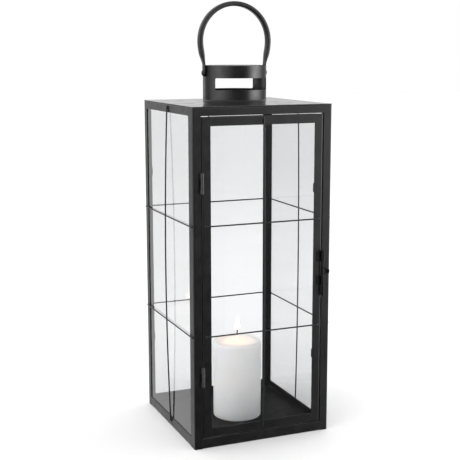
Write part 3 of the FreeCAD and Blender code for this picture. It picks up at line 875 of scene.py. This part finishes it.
# ---- roof, collar and cap -------------------------------------------------------------------
@dataclass
class Roof:
    """Pressed roof plate: a flat border, an eased slope, and a flat crown round the vent hole."""

    finish: Finish
    border: float = 12.0 * MM
    slope: float = 33.0 * MM
    hole: float = 38.0 * MM
    corner: float = 1.5 * MM
    ease: float = 0.1
    per_side: int = 24

    def outline(self) -> Array:
        """Unit square round the centre, anticlockwise: every point has its larger coordinate at 1."""
        run = np.linspace(-1.0, 1.0, self.per_side, endpoint=False)
        one = np.ones_like(run)
        sides = [(run, -one), (one, run), (-run, one), (-one, -run)]
        return np.concatenate([np.stack(side, -1) for side in sides])

    def rise(self, half: Array, edge: float, height: float) -> Array:
        """Height above the border at a distance from the centre: a straight ramp s from 0 to 1 whose two
        folds are eased, e (softplus(s / e) - softplus((s - 1) / e)).

        Args:
            half: distances of the rings' sides from the centre.
            edge: distance of the slope's foot from the centre.
            height: rise of the crown above the border.

        Returns:
            The heights.
        """
        share = (edge - half) / self.slope
        soft = np.logaddexp(0.0, share / self.ease) - np.logaddexp(0.0, (share - 1.0) / self.ease)
        return height * self.ease * soft

    def rings(self, half: float, low: float, height: float, drop: float) -> Array:
        """Rings from the border's edge in to the vent hole. A ring's outline goes from square to round
        inside the slope: (1 - m) square + m circle.

        Args:
            half: half of the body's width.
            low: height of the border's face.
            height: rise of the crown.
            drop: how far this side of the sheet lies inside the other.

        Returns:
            Array of rings, points and 3 coordinates.
        """
        square = self.outline()
        crown = half - self.border - self.slope
        border = [half, half - 0.15 * MM, half - 0.5 * MM]
        outer = np.concatenate([border, np.linspace(half - 4 * MM, crown, 22)])
        morph = np.linspace(0.0, 1.0, 8)[1:]
        flat = unit(square)
        squares = outer[:, None, None] * square
        blends = (1 - morph)[:, None, None] * crown * square + morph[:, None, None] * self.hole * flat
        spots = np.concatenate([squares, blends])
        reach = np.abs(spots).max(axis=2)
        z = low + self.rise(reach + drop, half - self.border, height) - drop
        z[0] -= 0.3 * MM
        z[1] -= 0.1 * MM
        return np.concatenate([spots, z[..., None]], -1)

    def build(self) -> None:
        """Upper side, lower side and both edges as one closed ring surface."""
        low, high = corners("roof_plate")
        half = high[0]
        border_top = low[2] + SHEET
        height = high[2] - border_top
        upper = self.rings(half, border_top, height, 0.0)
        lower = self.rings(half, border_top, height, SHEET)
        lower[0, :, 2] = low[2] + 0.15 * MM
        lower[1, :, 2] = low[2]
        both = np.concatenate([upper[::-1], lower])
        wear = np.zeros(both.shape[:2])
        wear[len(upper) - 3:len(upper) + 3] = 1.0
        shell = grid(both, around=True, along=True, wear=wear).welded().outward()
        make_piece("roof_sheet", shell, Body.FRAME, self.finish, nodes=["roof_plate"])


@dataclass
class VentCollar:
    """Rolled collar with two wide windows, its hemmed rim, its foot weld and its cap."""

    finish: Finish

    def build(self) -> None:
        """Make the collar, its seam, foot and cap."""
        low, high = corners("vent_collar")
        radius, height = high[0], high[2] - low[2]
        smooth_copy("vent_collar", Body.FRAME, self.finish, bevel=0.25 * MM)
        self.foot(radius, low[2])
        self.seam(radius, low[2], height)
        self.cap()

    def foot(self, radius: float, base: float) -> None:
        """Fillet weld round the collar's foot: a lathed hollow quarter-round, at r + w (1 - sin a) and
        w (1 - cos a)."""
        size = 1.1 * MM
        turn = np.linspace(0.0, np.pi / 2, 6)
        outside = np.stack([radius + size * (1 - np.sin(turn)), base + size * (1 - np.cos(turn))], -1)[::-1]
        inside = np.array([[radius - 0.4 * MM, outside[0, 1]], [radius - 0.4 * MM, outside[-1, 1]]])
        profile = np.concatenate([outside, inside[::-1] if outside[0, 1] > outside[-1, 1] else inside])
        profile = np.concatenate([profile, profile[:1]])
        shell = lathe(profile, 120).outward()
        make_piece("collar_foot_weld", shell, Body.FRAME, self.finish)

    def seam(self, radius: float, base: float, height: float) -> None:
        """Closed joint of the rolled wall, a shallow upright rib at the left side inside the windows' gap."""
        angle = math.radians(168.0)
        spot = np.array([math.cos(angle), math.sin(angle), 0.0]) * (radius - 0.15 * MM)
        start, end = spot + [0, 0, base + 1 * MM], spot + [0, 0, base + height - 0.8 * MM]
        line, length = straight(start, end)
        rib = bar(line, length, 0.45 * MM, np.array([0.0, 1.0, 0.0]), sides=10, spans=12)
        make_piece("collar_seam", rib, Body.FRAME, self.finish)

    def cap(self) -> None:
        """Cap pressed into the rim: a lathed disc with a shallow dish and a raised ring near its edge."""
        low, high = corners("vent_cap")
        radius, top, under = high[0], high[2], low[2]
        share = np.linspace(1.0, 0.0, 26)
        ring = 0.35 * MM * np.exp(-((share - 0.86) / 0.05) ** 2)
        dish = -0.25 * MM * (1 - np.clip(share / 0.8, 0, 1) ** 2)
        upper = np.stack([radius * share, top - 0.35 * MM + ring + dish], -1)
        lower = upper[::-1] - [0.0, top - under - 0.4 * MM]
        profile = np.concatenate([upper[::-1], lower[::-1]])
        shell = lathe(profile, 96).outward()
        make_piece("vent_cap_disc", shell, Body.FRAME, self.finish, nodes=["vent_cap"])


# ---- handle ---------------------------------------------------------------------------------
@dataclass
class Handle:
    """Bail handle: one bar, flattened to straps at its ends, bent over the collar."""

    finish: Finish
    strap_thick: float = 2.0 * MM
    strap_wide: float = 10.0 * MM
    strap_rise: float = 11.0 * MM
    bar_thick: float = 6.6 * MM
    bar_wide: float = 9.6 * MM
    arch_rise: float = 43.0 * MM
    bulge: float = 6.5 * MM

    def half_path(self, strap_x: float, arch_radius: float, pivot: float) -> tuple[Array, Array, Array]:
        """Centre line of the right half, with its thickness and width: a straight strap, a leg that eases
        outwards, and a quarter circle up to the crown.

        Args:
            strap_x: the strap's middle, from the centre.
            arch_radius: radius of the arch's centre line.
            pivot: height of the pivot.

        Returns:
            Rows of (x, z), the thicknesses and the widths.
        """
        radius = self.strap_wide / 2
        turn = np.linspace(0.0, np.pi / 2, 9)
        tongue_z = pivot - radius * np.cos(turn)
        tongue_w = 2 * radius * np.sin(turn) + 0.02 * MM
        strap_z = np.linspace(pivot, pivot + self.strap_rise, 6)[1:]
        share = np.linspace(0.0, 1.0, 22)[1:]
        arch_z = pivot + self.arch_rise
        leg_z = strap_z[-1] + share * (arch_z - strap_z[-1])
        lean = 0.35 * share**2 * (3 - 2 * share) + 0.65 * np.sin(share * np.pi / 2)
        swell = np.clip(1.9 * share, 0, 1)
        swell = swell**2 * (3 - 2 * swell)
        quarter = np.linspace(0.0, np.pi / 2, 22)[1:]
        x = np.concatenate([
            np.full(len(turn) + len(strap_z), strap_x),
            strap_x + lean * (arch_radius - strap_x),
            arch_radius * np.cos(quarter),
        ])
        z = np.concatenate([tongue_z, strap_z, leg_z, arch_z + arch_radius * np.sin(quarter)])
        rest = len(quarter)
        thick = np.concatenate([
            np.full(len(turn) + len(strap_z), self.strap_thick),
            self.strap_thick + swell * (self.bar_thick - self.strap_thick),
            np.full(rest, self.bar_thick),
        ])
        wide = np.concatenate([
            tongue_w,
            np.full(len(strap_z), self.strap_wide),
            self.strap_wide + swell * (self.bar_wide - self.strap_wide),
            np.full(rest, self.bar_wide),
        ])
        return np.stack([x, z], -1), thick, wide

    def build(self) -> None:
        """Carry a flattened oval, |u|^n + |v|^n = 1 with n = 4, along both halves of the path."""
        low, high = corners("vent_collar")
        bottom = corners("handle")[0][2]
        pivot = bottom + self.strap_wide / 2
        strap_x = high[0] + 0.35 * MM + self.strap_thick / 2
        line, thick, wide = self.half_path(strap_x, high[0] + self.bulge, pivot)
        x = np.concatenate([line[:, 0], -line[-2::-1, 0]])
        z = np.concatenate([line[:, 1], line[-2::-1, 1]])
        thick, wide = (np.concatenate([size, size[-2::-1]]) for size in (thick, wide))
        centres = np.stack([x, np.zeros_like(x), z], -1)
        tangent = unit(np.gradient(centres, axis=0))
        second = np.array([0.0, 1.0, 0.0])
        first = np.cross(second, tangent)
        c, s = circle(28)
        power = 0.5
        oval_u, oval_v = np.sign(c) * np.abs(c) ** power, np.sign(s) * np.abs(s) ** power
        section = np.stack([thick[:, None] / 2 * oval_u, wide[:, None] / 2 * oval_v], -1)
        points = carried(section, centres, first, second)
        shell = grid(points, around=True)
        ends = [self.lid(points[0]), self.lid(points[-1])]
        first_lid = replace(ends[0], faces=ends[0].faces[:, ::-1])
        whole = Surface.join([shell, first_lid, ends[1]]).welded().outward()
        make_piece("bail_handle", whole, Body.HANDLE, self.finish, sharp=55.0,
                   nodes=["handle"])
        for side, sign in (("left", -1.0), ("right", 1.0)):
            self.rivet(side, sign)

    @staticmethod
    def lid(ring: Array) -> Surface:
        """Close a ring of points with faces to its middle."""
        middle = np.broadcast_to(ring.mean(axis=0), ring.shape)
        return grid(np.stack([ring, middle]), around=True)

    def rivet(self, side: str, sign: float) -> None:
        """Rivet as a lathed form about X: a domed head with a small set ring, its shank and its tail.

        Args:
            side: left or right.
            sign: -1 for left, 1 for right.
        """
        node = f"handle_rivet_{side}"
        low, high = corners(node)
        outer = max(abs(low[0]), abs(high[0]))
        inner = min(abs(low[0]), abs(high[0]))
        radius = (high[2] - low[2]) / 2
        head = 2.0 * MM
        turn = np.linspace(0.0, np.pi / 2, 10)
        dome = np.stack([radius * np.sin(turn), outer - head + head * np.cos(turn)], -1)
        shank = 2.0 * MM
        back = np.array([[radius * 0.96, outer - head - 0.1 * MM], [shank, outer - head - 0.1 * MM],
                         [shank, inner + 0.8 * MM], [shank + 1.2 * MM, inner + 0.8 * MM],
                         [shank + 1.0 * MM, inner + 0.1 * MM], [shank * 0.6, inner], [0.0, inner]])
        turned = lathe(np.concatenate([dome, back]), 28).outward()
        middle = (low + high) / 2
        across, up, along = turned.points.T
        laid = replace(turned, points=np.stack([sign * along, across, up + middle[2]], -1)).outward()
        make_piece(f"{node}_head", laid, Body.FRAME, self.finish, nodes=[node])


# ---- glass, floor and clips -----------------------------------------------------------------
@dataclass
class Glazing:
    """Panes and the bent tabs that hold them, and the floor tray."""

    glass: Finish
    clips: Finish
    tray: Finish

    def build(self) -> None:
        """Dress the panes, copy the clips with eased edges, and copy the tray."""
        for face in ("left", "right", "back"):
            dress(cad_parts[f"glass_{face}"], self.glass.material())
            smooth_copy(f"glass_clips_{face}", Body.FRAME, self.clips, bevel=0.12 * MM)
        dress(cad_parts["door_glass"], self.glass.material())
        smooth_copy("door_glass_clips", Body.DOOR, self.clips, bevel=0.12 * MM)
        smooth_copy("floor_tray", Body.FRAME, self.tray)


# ---- wires ----------------------------------------------------------------------------------
@dataclass
class WireLattice:
    """One bowed upright wire and two cross wires on a face, with the weld beads at their ends."""

    face: Face
    label: str
    body: Body
    finish: Finish
    radius: float = 1.0 * MM
    bead: float = 1.75 * MM
    setback: float = 1.3 * MM

    def line(self, node: str) -> tuple[Array, Array, float]:
        """Ends of a wire's centre line and how far it bows out of the face, from its node's box."""
        low, high = corners(node)
        axis = int(np.argmax(high - low))
        across = 1 if abs(self.face.out[1]) > 0.5 else 0
        sign = self.face.out[across]
        start = (low + high) / 2
        start[across] = (low if sign > 0 else high)[across] + sign * self.radius
        end = start.copy()
        start[axis], end[axis] = low[axis], high[axis]
        return start, end, (high - low)[across] - 2 * self.radius

    def wire(self, node: str) -> Surface:
        """Wire as p(t) = start + t (end - start) + out 4 bow t (1 - t)."""
        start, end, bow = self.line(node)
        out = self.face.out
        length = float(np.linalg.norm(end - start))

        def path(t: Array) -> Array:
            """Centre line's points for shares of its length."""
            return start + t[:, None] * (end - start) + (4 * bow * t * (1 - t))[:, None] * out

        return bar(path, length, self.radius, out)

    def build(self) -> None:
        """Make the three wires and their beads."""
        beads = []
        for kind in ("upright_wire", "lower_cross_wire", "upper_cross_wire"):
            node = f"{self.label}_{kind}"
            make_piece(f"{node}_bar", self.wire(node), self.body, self.finish, nodes=[node])
            start, end, _ = self.line(node)
            along = unit(end - start)
            radii = self.bead * (1.0 + 0.35 * np.abs(along)) * (1.0 - 0.42 * np.abs(self.face.out))
            foot = -self.face.out * self.radius * 0.75
            inset = along * self.setback
            beads += [ball(start + inset + foot, radii), ball(end - inset + foot, radii)]
        make_piece(f"{self.label}_wire_welds", Surface.join(beads), self.body, self.finish)


# ---- door -----------------------------------------------------------------------------------
@dataclass
class Door:
    """Door frame of folded strips."""

    finish: Finish
    fold: float = 1.4 * MM

    def build(self) -> None:
        """Two stiles and two rails: the wide flange is in the face, and the narrow one is turned in."""
        for side, sign in (("hinge", 1.0), ("latch", -1.0)):
            node = f"door_{side}_stile"
            low, high = corners(node)
            foot = np.array([low[0] if sign > 0 else high[0], low[1], low[2]])
            section = AngleSection(high[0] - low[0], high[1] - low[1], fold=self.fold)
            top = foot + [0.0, 0.0, high[2] - low[2]]
            shell = section.bar(foot, np.array([sign, 0.0, 0.0]), np.array([0.0, 1.0, 0.0]), top)
            make_piece(f"{node}_strip", shell, Body.DOOR, self.finish, nodes=[node])
        for level, sign in (("top", -1.0), ("bottom", 1.0)):
            node = f"door_{level}_rail"
            low, high = corners(node)
            start = np.array([low[0], low[1], high[2] if sign < 0 else low[2]])
            section = AngleSection(high[2] - low[2], high[1] - low[1], fold=self.fold)
            end = start + [high[0] - low[0], 0.0, 0.0]
            shell = section.bar(start, np.array([0.0, 0.0, sign]), np.array([0.0, 1.0, 0.0]), end)
            make_piece(f"{node}_strip", shell, Body.DOOR, self.finish, nodes=[node])


@dataclass
class Hardware:
    """Hinges and latch."""

    hinge: Finish
    latch: Finish

    def build(self) -> None:
        """Copy the knuckles, pins, brackets, rod, loop and catch; the knuckles and brackets get eased edges.
        """
        for level in ("upper", "lower"):
            for node, body in (("frame_knuckles", Body.FRAME), ("door_knuckle", Body.DOOR)):
                smooth_copy(f"{level}_hinge_{node}", body, self.hinge, bevel=0.2 * MM)
            smooth_copy(f"{level}_hinge_pin", Body.FRAME, self.hinge)
            smooth_copy(f"latch_{level}_bracket", Body.DOOR, self.latch, bevel=0.2 * MM)
        smooth_copy("latch_rod", Body.LATCH, self.latch)
        smooth_copy("latch_loop", Body.LATCH, self.latch)
        smooth_copy("latch_catch", Body.FRAME, self.latch)


# ---- candle ---------------------------------------------------------------------------------
@dataclass
class Candle:
    """Pillar candle: wax with a melted top, a molten pool, a braided wick and a flame."""

    rim: float = 3.6 * MM
    foot: float = 1.2 * MM
    pool: float = 27.0 * MM
    pool_depth: float = 1.5 * MM
    wick_radius: float = 1.0 * MM
    flame_low: float = 16.6 * MM
    flame_high: float = 40.5 * MM
    flame_radius: float = 3.4 * MM
    columns: int = 128

    def build(self) -> None:
        """Make the wax, pool, wick and flame about the candle's own axis."""
        low, high = corners("candle")
        self.axis = np.array([*((low + high) / 2)[:2], 0.0])
        self.low, self.top, self.radius = low[2], high[2], (high[0] - low[0]) / 2
        self.pool_z = self.top - self.pool_depth
        self.wick_top = corners("wick")[1][2]
        hot = (self.axis[0], self.axis[1], self.pool_z + 3 * MM)
        make_piece("candle_wax", self.wax(), Body.FRAME, Wax("pillar_wax", flame_foot=hot),
                   sharp=80.0, nodes=["candle"])
        pool = MoltenWax("molten_wax", flame_foot=hot)
        make_piece("molten_pool", self.molten(), Body.FRAME, pool)
        cotton = CharredCotton("charred_wick", foot=self.pool_z, tip=self.wick_top)
        make_piece("braided_wick", self.wick(), Body.FRAME, cotton, sharp=80.0, nodes=["wick"])
        foot, tip = self.pool_z + self.flame_low, self.pool_z + self.flame_high
        make_piece("candle_flame", self.flame(foot, tip), Body.FRAME,
                   Flame("flame_light", foot=foot, tip=tip), sharp=80.0)

    def wobble(self, height: Array, angle: Array) -> Array:
        """Slow unevenness of poured wax, a few tenths of a millimetre: sines of the angle and the height."""
        return 0.16 * MM * np.sin(2 * angle + 40 * height) + 0.1 * MM * np.sin(5 * angle - 70 * height + 1.3)

    def wax(self) -> Surface:
        """Lathed body: eased foot, straight side, soft rim and a bowl, its radius r + wobble(z, a), its rim
        uneven by a few tenths of a millimetre."""
        r, top = self.radius - 0.3 * MM, self.top - 0.3 * MM
        turn = np.linspace(0.0, np.pi / 2, 8)
        foot_r = r - self.foot * (1 - np.sin(turn))
        foot_z = self.low + self.foot * (1 - np.cos(turn))
        side_z = np.linspace(self.low + self.foot, top - self.rim, 44)[1:-1]
        rim_r = r - self.rim + self.rim * np.cos(turn)
        rim_z = top - self.rim + self.rim * np.sin(turn)
        share = np.linspace(1.0, 0.0, 16)[:-1]
        bowl_r = (r - self.rim) * share
        bowl_z = top - self.pool_depth * (1 - share**6) * 1.2
        radius = np.concatenate([[0.0], foot_r, np.full(len(side_z), r), rim_r, bowl_r[1:], [0.0]])
        height = np.concatenate([[self.low], foot_z, side_z, rim_z, bowl_z[1:], [bowl_z[-1]]])
        angle = np.linspace(0, 2 * np.pi, self.columns, endpoint=False)[None, :]
        uneven = np.where(radius[:, None] > 0.5 * r, self.wobble(height[:, None], angle), 0.0)
        r_all = radius[:, None] + uneven
        near_top = np.clip((height - (top - 9 * MM)) / (9 * MM), 0, 1)
        melted = near_top[:, None] * np.clip(radius / r, 0, 1)[:, None] ** 3
        lip = 0.28 * MM * np.sin(3 * angle + 0.7) + 0.14 * MM * np.sin(7 * angle)
        z_all = height[:, None] + melted * (lip - 0.2 * MM)
        points = np.stack([r_all * np.cos(angle), r_all * np.sin(angle), z_all], -1) + self.axis
        return grid(points, around=True).welded().outward()

    def molten(self) -> Surface:
        """Pool with a curled edge: z = level + curl (r / R)^8, and a flat underside."""
        share = np.linspace(0.0, 1.0, 18)
        curl = 0.35 * MM * share**8
        level = self.pool_z - 0.1 * MM
        upper = np.stack([self.pool * share, level + curl], -1)
        lower = np.array([[self.pool, level - 0.3 * MM], [0.0, level - 0.3 * MM]])
        return lathe(np.concatenate([upper, lower]), 96).outward().moved(self.axis)

    def wick(self) -> Surface:
        """Three twisted strands: radius r (1 + 0.16 cos 3(a - twist s)), on a line that leans at its top."""
        foot, tip = self.pool_z - 6 * MM, self.wick_top - 0.3 * MM
        share = np.linspace(0.0, 1.0, 64)
        lean = 0.3 * MM * share**3
        centres = np.stack([lean, -0.3 * lean, foot + share * (tip - foot)], -1) + self.axis
        taper = np.clip((1.0 - share) / 0.06, 0.0, 1.0) ** 0.5 * (1.0 - 0.22 * share)
        angle = np.linspace(0, 2 * np.pi, 24, endpoint=False)[None, :]
        twist = 2 * np.pi * 3.2 * share[:, None]
        size = self.wick_radius * taper[:, None] * (1 + 0.16 * np.cos(3 * (angle - twist)))
        section = np.stack([size * np.cos(angle), size * np.sin(angle)], -1)
        points = carried(section, centres, np.array([1.0, 0, 0]), np.array([0, 1.0, 0]))
        shell = grid(points, around=True)
        return Surface.join([shell, Handle.lid(points[0])]).welded().outward()

    def flame(self, foot: float, tip: float) -> Surface:
        """Slim drop: radius R sin(pi s^0.9)^0.95 (1 - 0.15 s), from its foot on the wick to its tip."""
        share = np.linspace(0.0, 1.0, 48)
        swell = np.clip(np.sin(np.pi * share**0.9), 0, 1) ** 0.95 * (1.0 - 0.15 * share)
        swell[[0, -1]] = 0.0
        profile = np.stack([self.flame_radius * swell, foot + share * (tip - foot)], -1)
        drop = lathe(profile, 40)
        bend = 1.1 * MM * np.sin(np.clip((drop.points[:, 2] - foot) / (tip - foot), 0, 1) * 2.0)
        points = drop.points + np.stack([bend, 0 * bend, 0 * bend], -1) + self.axis
        return replace(drop, points=points).outward()


# ---- stage ----------------------------------------------------------------------------------
@dataclass(frozen=True)
class Viewpoint:
    """Camera on a level arc round the lantern."""

    azimuth: float = 22.46
    elevation: float = 10.25
    distance: float = 1.4259
    roll: float = 0.1
    aim: tuple[float, float, float] = (-0.0057, 0.0023, 0.2781)
    sensor: float = 36.0
    lens: float = 78.22

    def build(self) -> None:
        """Place the camera: aim + distance (-sin a cos e, -cos a cos e, sin e)."""
        a, e = math.radians(self.azimuth), math.radians(self.elevation)
        away = Vector((-math.sin(a) * math.cos(e), -math.cos(a) * math.cos(e), math.sin(e)))
        data = bpy.data.cameras.new("viewpoint")
        data.sensor_width, data.lens = self.sensor, self.lens
        camera = bpy.data.objects.new("viewpoint", data)
        camera.location = Vector(self.aim) + self.distance * away
        camera.rotation_euler = (math.radians(90.0 - self.elevation), math.radians(self.roll), -a)
        bpy.context.scene.collection.objects.link(camera)
        bpy.context.scene.camera = camera


@dataclass(frozen=True)
class Floor(Finish):
    """Matt white floor."""

    def paint(self, graph: Graph, shader: bpy.types.Node) -> None:
        """Plain pale grey, matt, and darker in reflections."""
        faint = graph.span(graph.noise(6.0), 0.3, 0.7)
        pale = graph.mix(faint, (0.55, 0.55, 0.55), (0.57, 0.57, 0.57))
        mirrored = graph.math("GREATER_THAN", graph.add("LightPath").outputs["Glossy Depth"], 0.5)
        graph.tree.links.new(graph.mix(mirrored, pale, (0.1, 0.1, 0.1)), shader.inputs["Base Color"])
        shader.inputs["Roughness"].default_value = 0.6
        shader.inputs["Specular IOR Level"].default_value = 0.2


@dataclass
class Studio:
    """Pale floor, a surround that differs for sight, scattered light and reflections, and soft lights.

    fills: scattered light from the left (0) to the right (1). bands: reflected light by bearing in degrees
    from the door's normal, right positive. peak: the most that either holds. sinking: how the bands fade
    below level, in front of the bearings named behind. ceiling: heights over which they give way to overhead.
    indoors: share of a reflection that is left once it has crossed glass."""

    floor_half: float = 9.0
    level: float = 1.0
    fills: tuple[tuple[float, float], ...] = ((0.0, 3.3), (0.6, 1.4), (1.0, 2.0))
    overhead: float = 1.3
    peak: float = 12.0
    indoors: float = 0.35
    sinking: tuple[float, float, float, float] = (-0.32, -0.03, 0.12, 1.0)
    ceiling: tuple[float, float] = (0.03, 0.17)
    behind: tuple[float, float] = (130.0, 140.0)
    bands: tuple[tuple[float, float], ...] = (
        (-180, 1.1), (-170, 1.1), (-160, 1.0), (-150, 0.35), (-138, 0.05), (-125, 0.5),
        (-112, 2.0), (-95, 3.4), (-79, 3.9), (-60, 3.2), (-42, 1.4), (-28, 0.35),
        (-10, 0.1), (5, 0.08), (18, 0.1), (28, 0.5), (36, 4.4), (48, 11.0),
        (59, 11.0), (75, 5.0), (88, 1.6), (100, 0.4), (120, 0.4), (140, 0.8), (180, 1.1))

    def plane(self, name: str, finish: Finish, x: tuple[float, float], y: tuple[float, float], z: float
              ) -> bpy.types.Object:
        """Level sheet between two corners, as part of the stage.

        Args:
            name: the object's name.
            finish: its finish.
            x: its extent in X.
            y: its extent in Y.
            z: its height.

        Returns:
            The object.
        """
        mesh = bpy.data.meshes.new(name)
        spots = [(x[0], y[0], z), (x[1], y[0], z), (x[1], y[1], z), (x[0], y[1], z)]
        mesh.from_pydata(spots, [], [(0, 1, 2, 3)])
        obj = bpy.data.objects.new(name, mesh)
        bpy.context.scene.collection.objects.link(obj)
        dress(obj, finish.material())
        return obj

    def mirrored(self, graph: Graph) -> bpy.types.NodeSocket:
        """What polished faces show: bands of light and dark by bearing, which sink into the dark towards
        the floor in front, under an even ceiling.

        Args:
            graph: the world's graph.

        Returns:
            The light by direction.
        """
        direction = graph.add("SeparateXYZ", {0: graph.add("TexCoord").outputs["Generated"]})
        height = direction.outputs["Z"]
        forward = graph.math("MULTIPLY", direction.outputs["Y"], -1.0)
        bearing = graph.math("ARCTAN2", direction.outputs["X"], forward)
        turn = graph.math("MULTIPLY_ADD", bearing, 0.5 / math.pi)
        turn.node.inputs[2].default_value = 0.5
        stops = [(angle / 360.0 + 0.5, level) for angle, level in self.bands]
        bright = graph.ramp(turn, stops, self.peak, "EASE")
        sinking = graph.span(height, *self.sinking)
        low, high = (math.radians(angle) for angle in self.behind)
        front = graph.span(graph.math("ABSOLUTE", bearing), high, low)
        level = graph.mix(front, bright, graph.scaled(bright, sinking))
        return graph.mix(graph.span(height, *self.ceiling), level, (self.overhead,) * 3)

    def surround(self) -> None:
        """World light: white for direct sight, a soft fill for scattered light, and bands of light and dark
        for reflections, weaker behind glass."""
        world = bpy.data.worlds.new("surround")
        bpy.context.scene.world = world
        world.use_nodes = True
        graph = Graph(world.node_tree)
        mirrored = self.mirrored(graph)
        rays = graph.add("LightPath")
        across = graph.add("SeparateXYZ", {0: graph.add("TexCoord").outputs["Generated"]}).outputs["X"]
        fill = graph.ramp(graph.span(across, -1.0, 1.0), self.fills, self.peak, "LINEAR")
        crossed = graph.math("GREATER_THAN", rays.outputs["Transmission Depth"], 0.5)
        mirrored = graph.mix(crossed, mirrored, graph.scaled(mirrored, self.indoors))
        sight = graph.math("MAXIMUM", rays.outputs["Is Camera Ray"], rays.outputs["Is Transmission Ray"])
        unreflected = graph.math("LESS_THAN", rays.outputs["Glossy Depth"], 0.5)
        seen = graph.mix(graph.math("MULTIPLY", sight, unreflected), mirrored, (self.level,) * 3)
        scattered = graph.math("GREATER_THAN", rays.outputs["Diffuse Depth"], 0.5)
        back = graph.add("Background", {"Color": graph.mix(scattered, seen, fill), "Strength": 1.0})
        graph.tree.links.new(back.outputs[0], graph.add("OutputWorld").inputs[0])

    def softbox(self, name: str, azimuth: float, elevation: float, distance: float, size: tuple[float, float],
                power: float, colour: Colour = (1.0, 1.0, 1.0)) -> None:
        """Rectangular light that faces the lantern's middle.

        Args:
            name: the light's name.
            azimuth: degrees to the right of the door's normal.
            elevation: degrees above level.
            distance: metres from the lantern's middle.
            size: width and height.
            power: watts.
            colour: the light's colour.
        """
        data = bpy.data.lights.new(name, "AREA")
        data.shape = "RECTANGLE"
        data.size, data.size_y = size
        data.energy, data.color = power, colour
        a, e = math.radians(azimuth), math.radians(elevation)
        away = Vector((math.sin(a) * math.cos(e), -math.cos(a) * math.cos(e), math.sin(e)))
        light = bpy.data.objects.new(name, data)
        light.location = Vector((0.0, 0.0, 0.25)) + distance * away
        light.rotation_euler = away.to_track_quat("Z", "Y").to_euler()
        light.visible_camera = False
        light.visible_glossy = False
        light.visible_transmission = False
        bpy.context.scene.collection.objects.link(light)

    def candlelight(self, place: Array, power: float) -> None:
        """Warm light from the flame itself."""
        data = bpy.data.lights.new("candlelight", "POINT")
        data.energy, data.color, data.shadow_soft_size = power, (1.0, 0.6, 0.28), 4.0 * MM
        light = bpy.data.objects.new("candlelight", data)
        light.location = Vector(place)
        bpy.context.scene.collection.objects.link(light)

    def build(self, flame: Array) -> None:
        """Floor, reflections, surround and lights.

        Args:
            flame: the middle of the flame.
        """
        half = self.floor_half
        floor = self.plane("floor", Floor("studio_floor"), (-half, half), (-half, half), 0.0)
        floor.visible_glossy = False
        self.surround()
        self.softbox("right_softbox", 100.0, 40.0, 1.7, (1.4, 1.4), 10.0)
        self.candlelight(flame, 0.02)
        bpy.context.scene.view_settings.view_transform = "Standard"


def main() -> None:
    """Build the lantern, sub-assembly by sub-assembly, and its stage."""
    logging.basicConfig(level=logging.INFO, format="%(name)s: %(message)s")
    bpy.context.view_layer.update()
    FrameAngles(FRAME_COAT).build()
    Roof(ROOF_COAT).build()
    VentCollar(COLLAR_COAT).build()
    Handle(HANDLE_COAT).build()
    Glazing(CLEAR_GLASS, CLIP_COAT, TRAY_COAT).build()
    for face in (Face.LEFT, Face.RIGHT, Face.BACK):
        WireLattice(face, face.label, Body.FRAME, WIRE_COAT).build()
    Door(FRAME_COAT).build()
    WireLattice(Face.FRONT, "door", Body.DOOR, WIRE_COAT).build()
    Hardware(HINGE_COAT, LATCH_COAT).build()
    candle = Candle()
    candle.build()
    Viewpoint().build()
    Studio().build(candle.axis + [0.0, 0.0, candle.pool_z + 22 * MM])


if __name__ == "__main__":
    main()
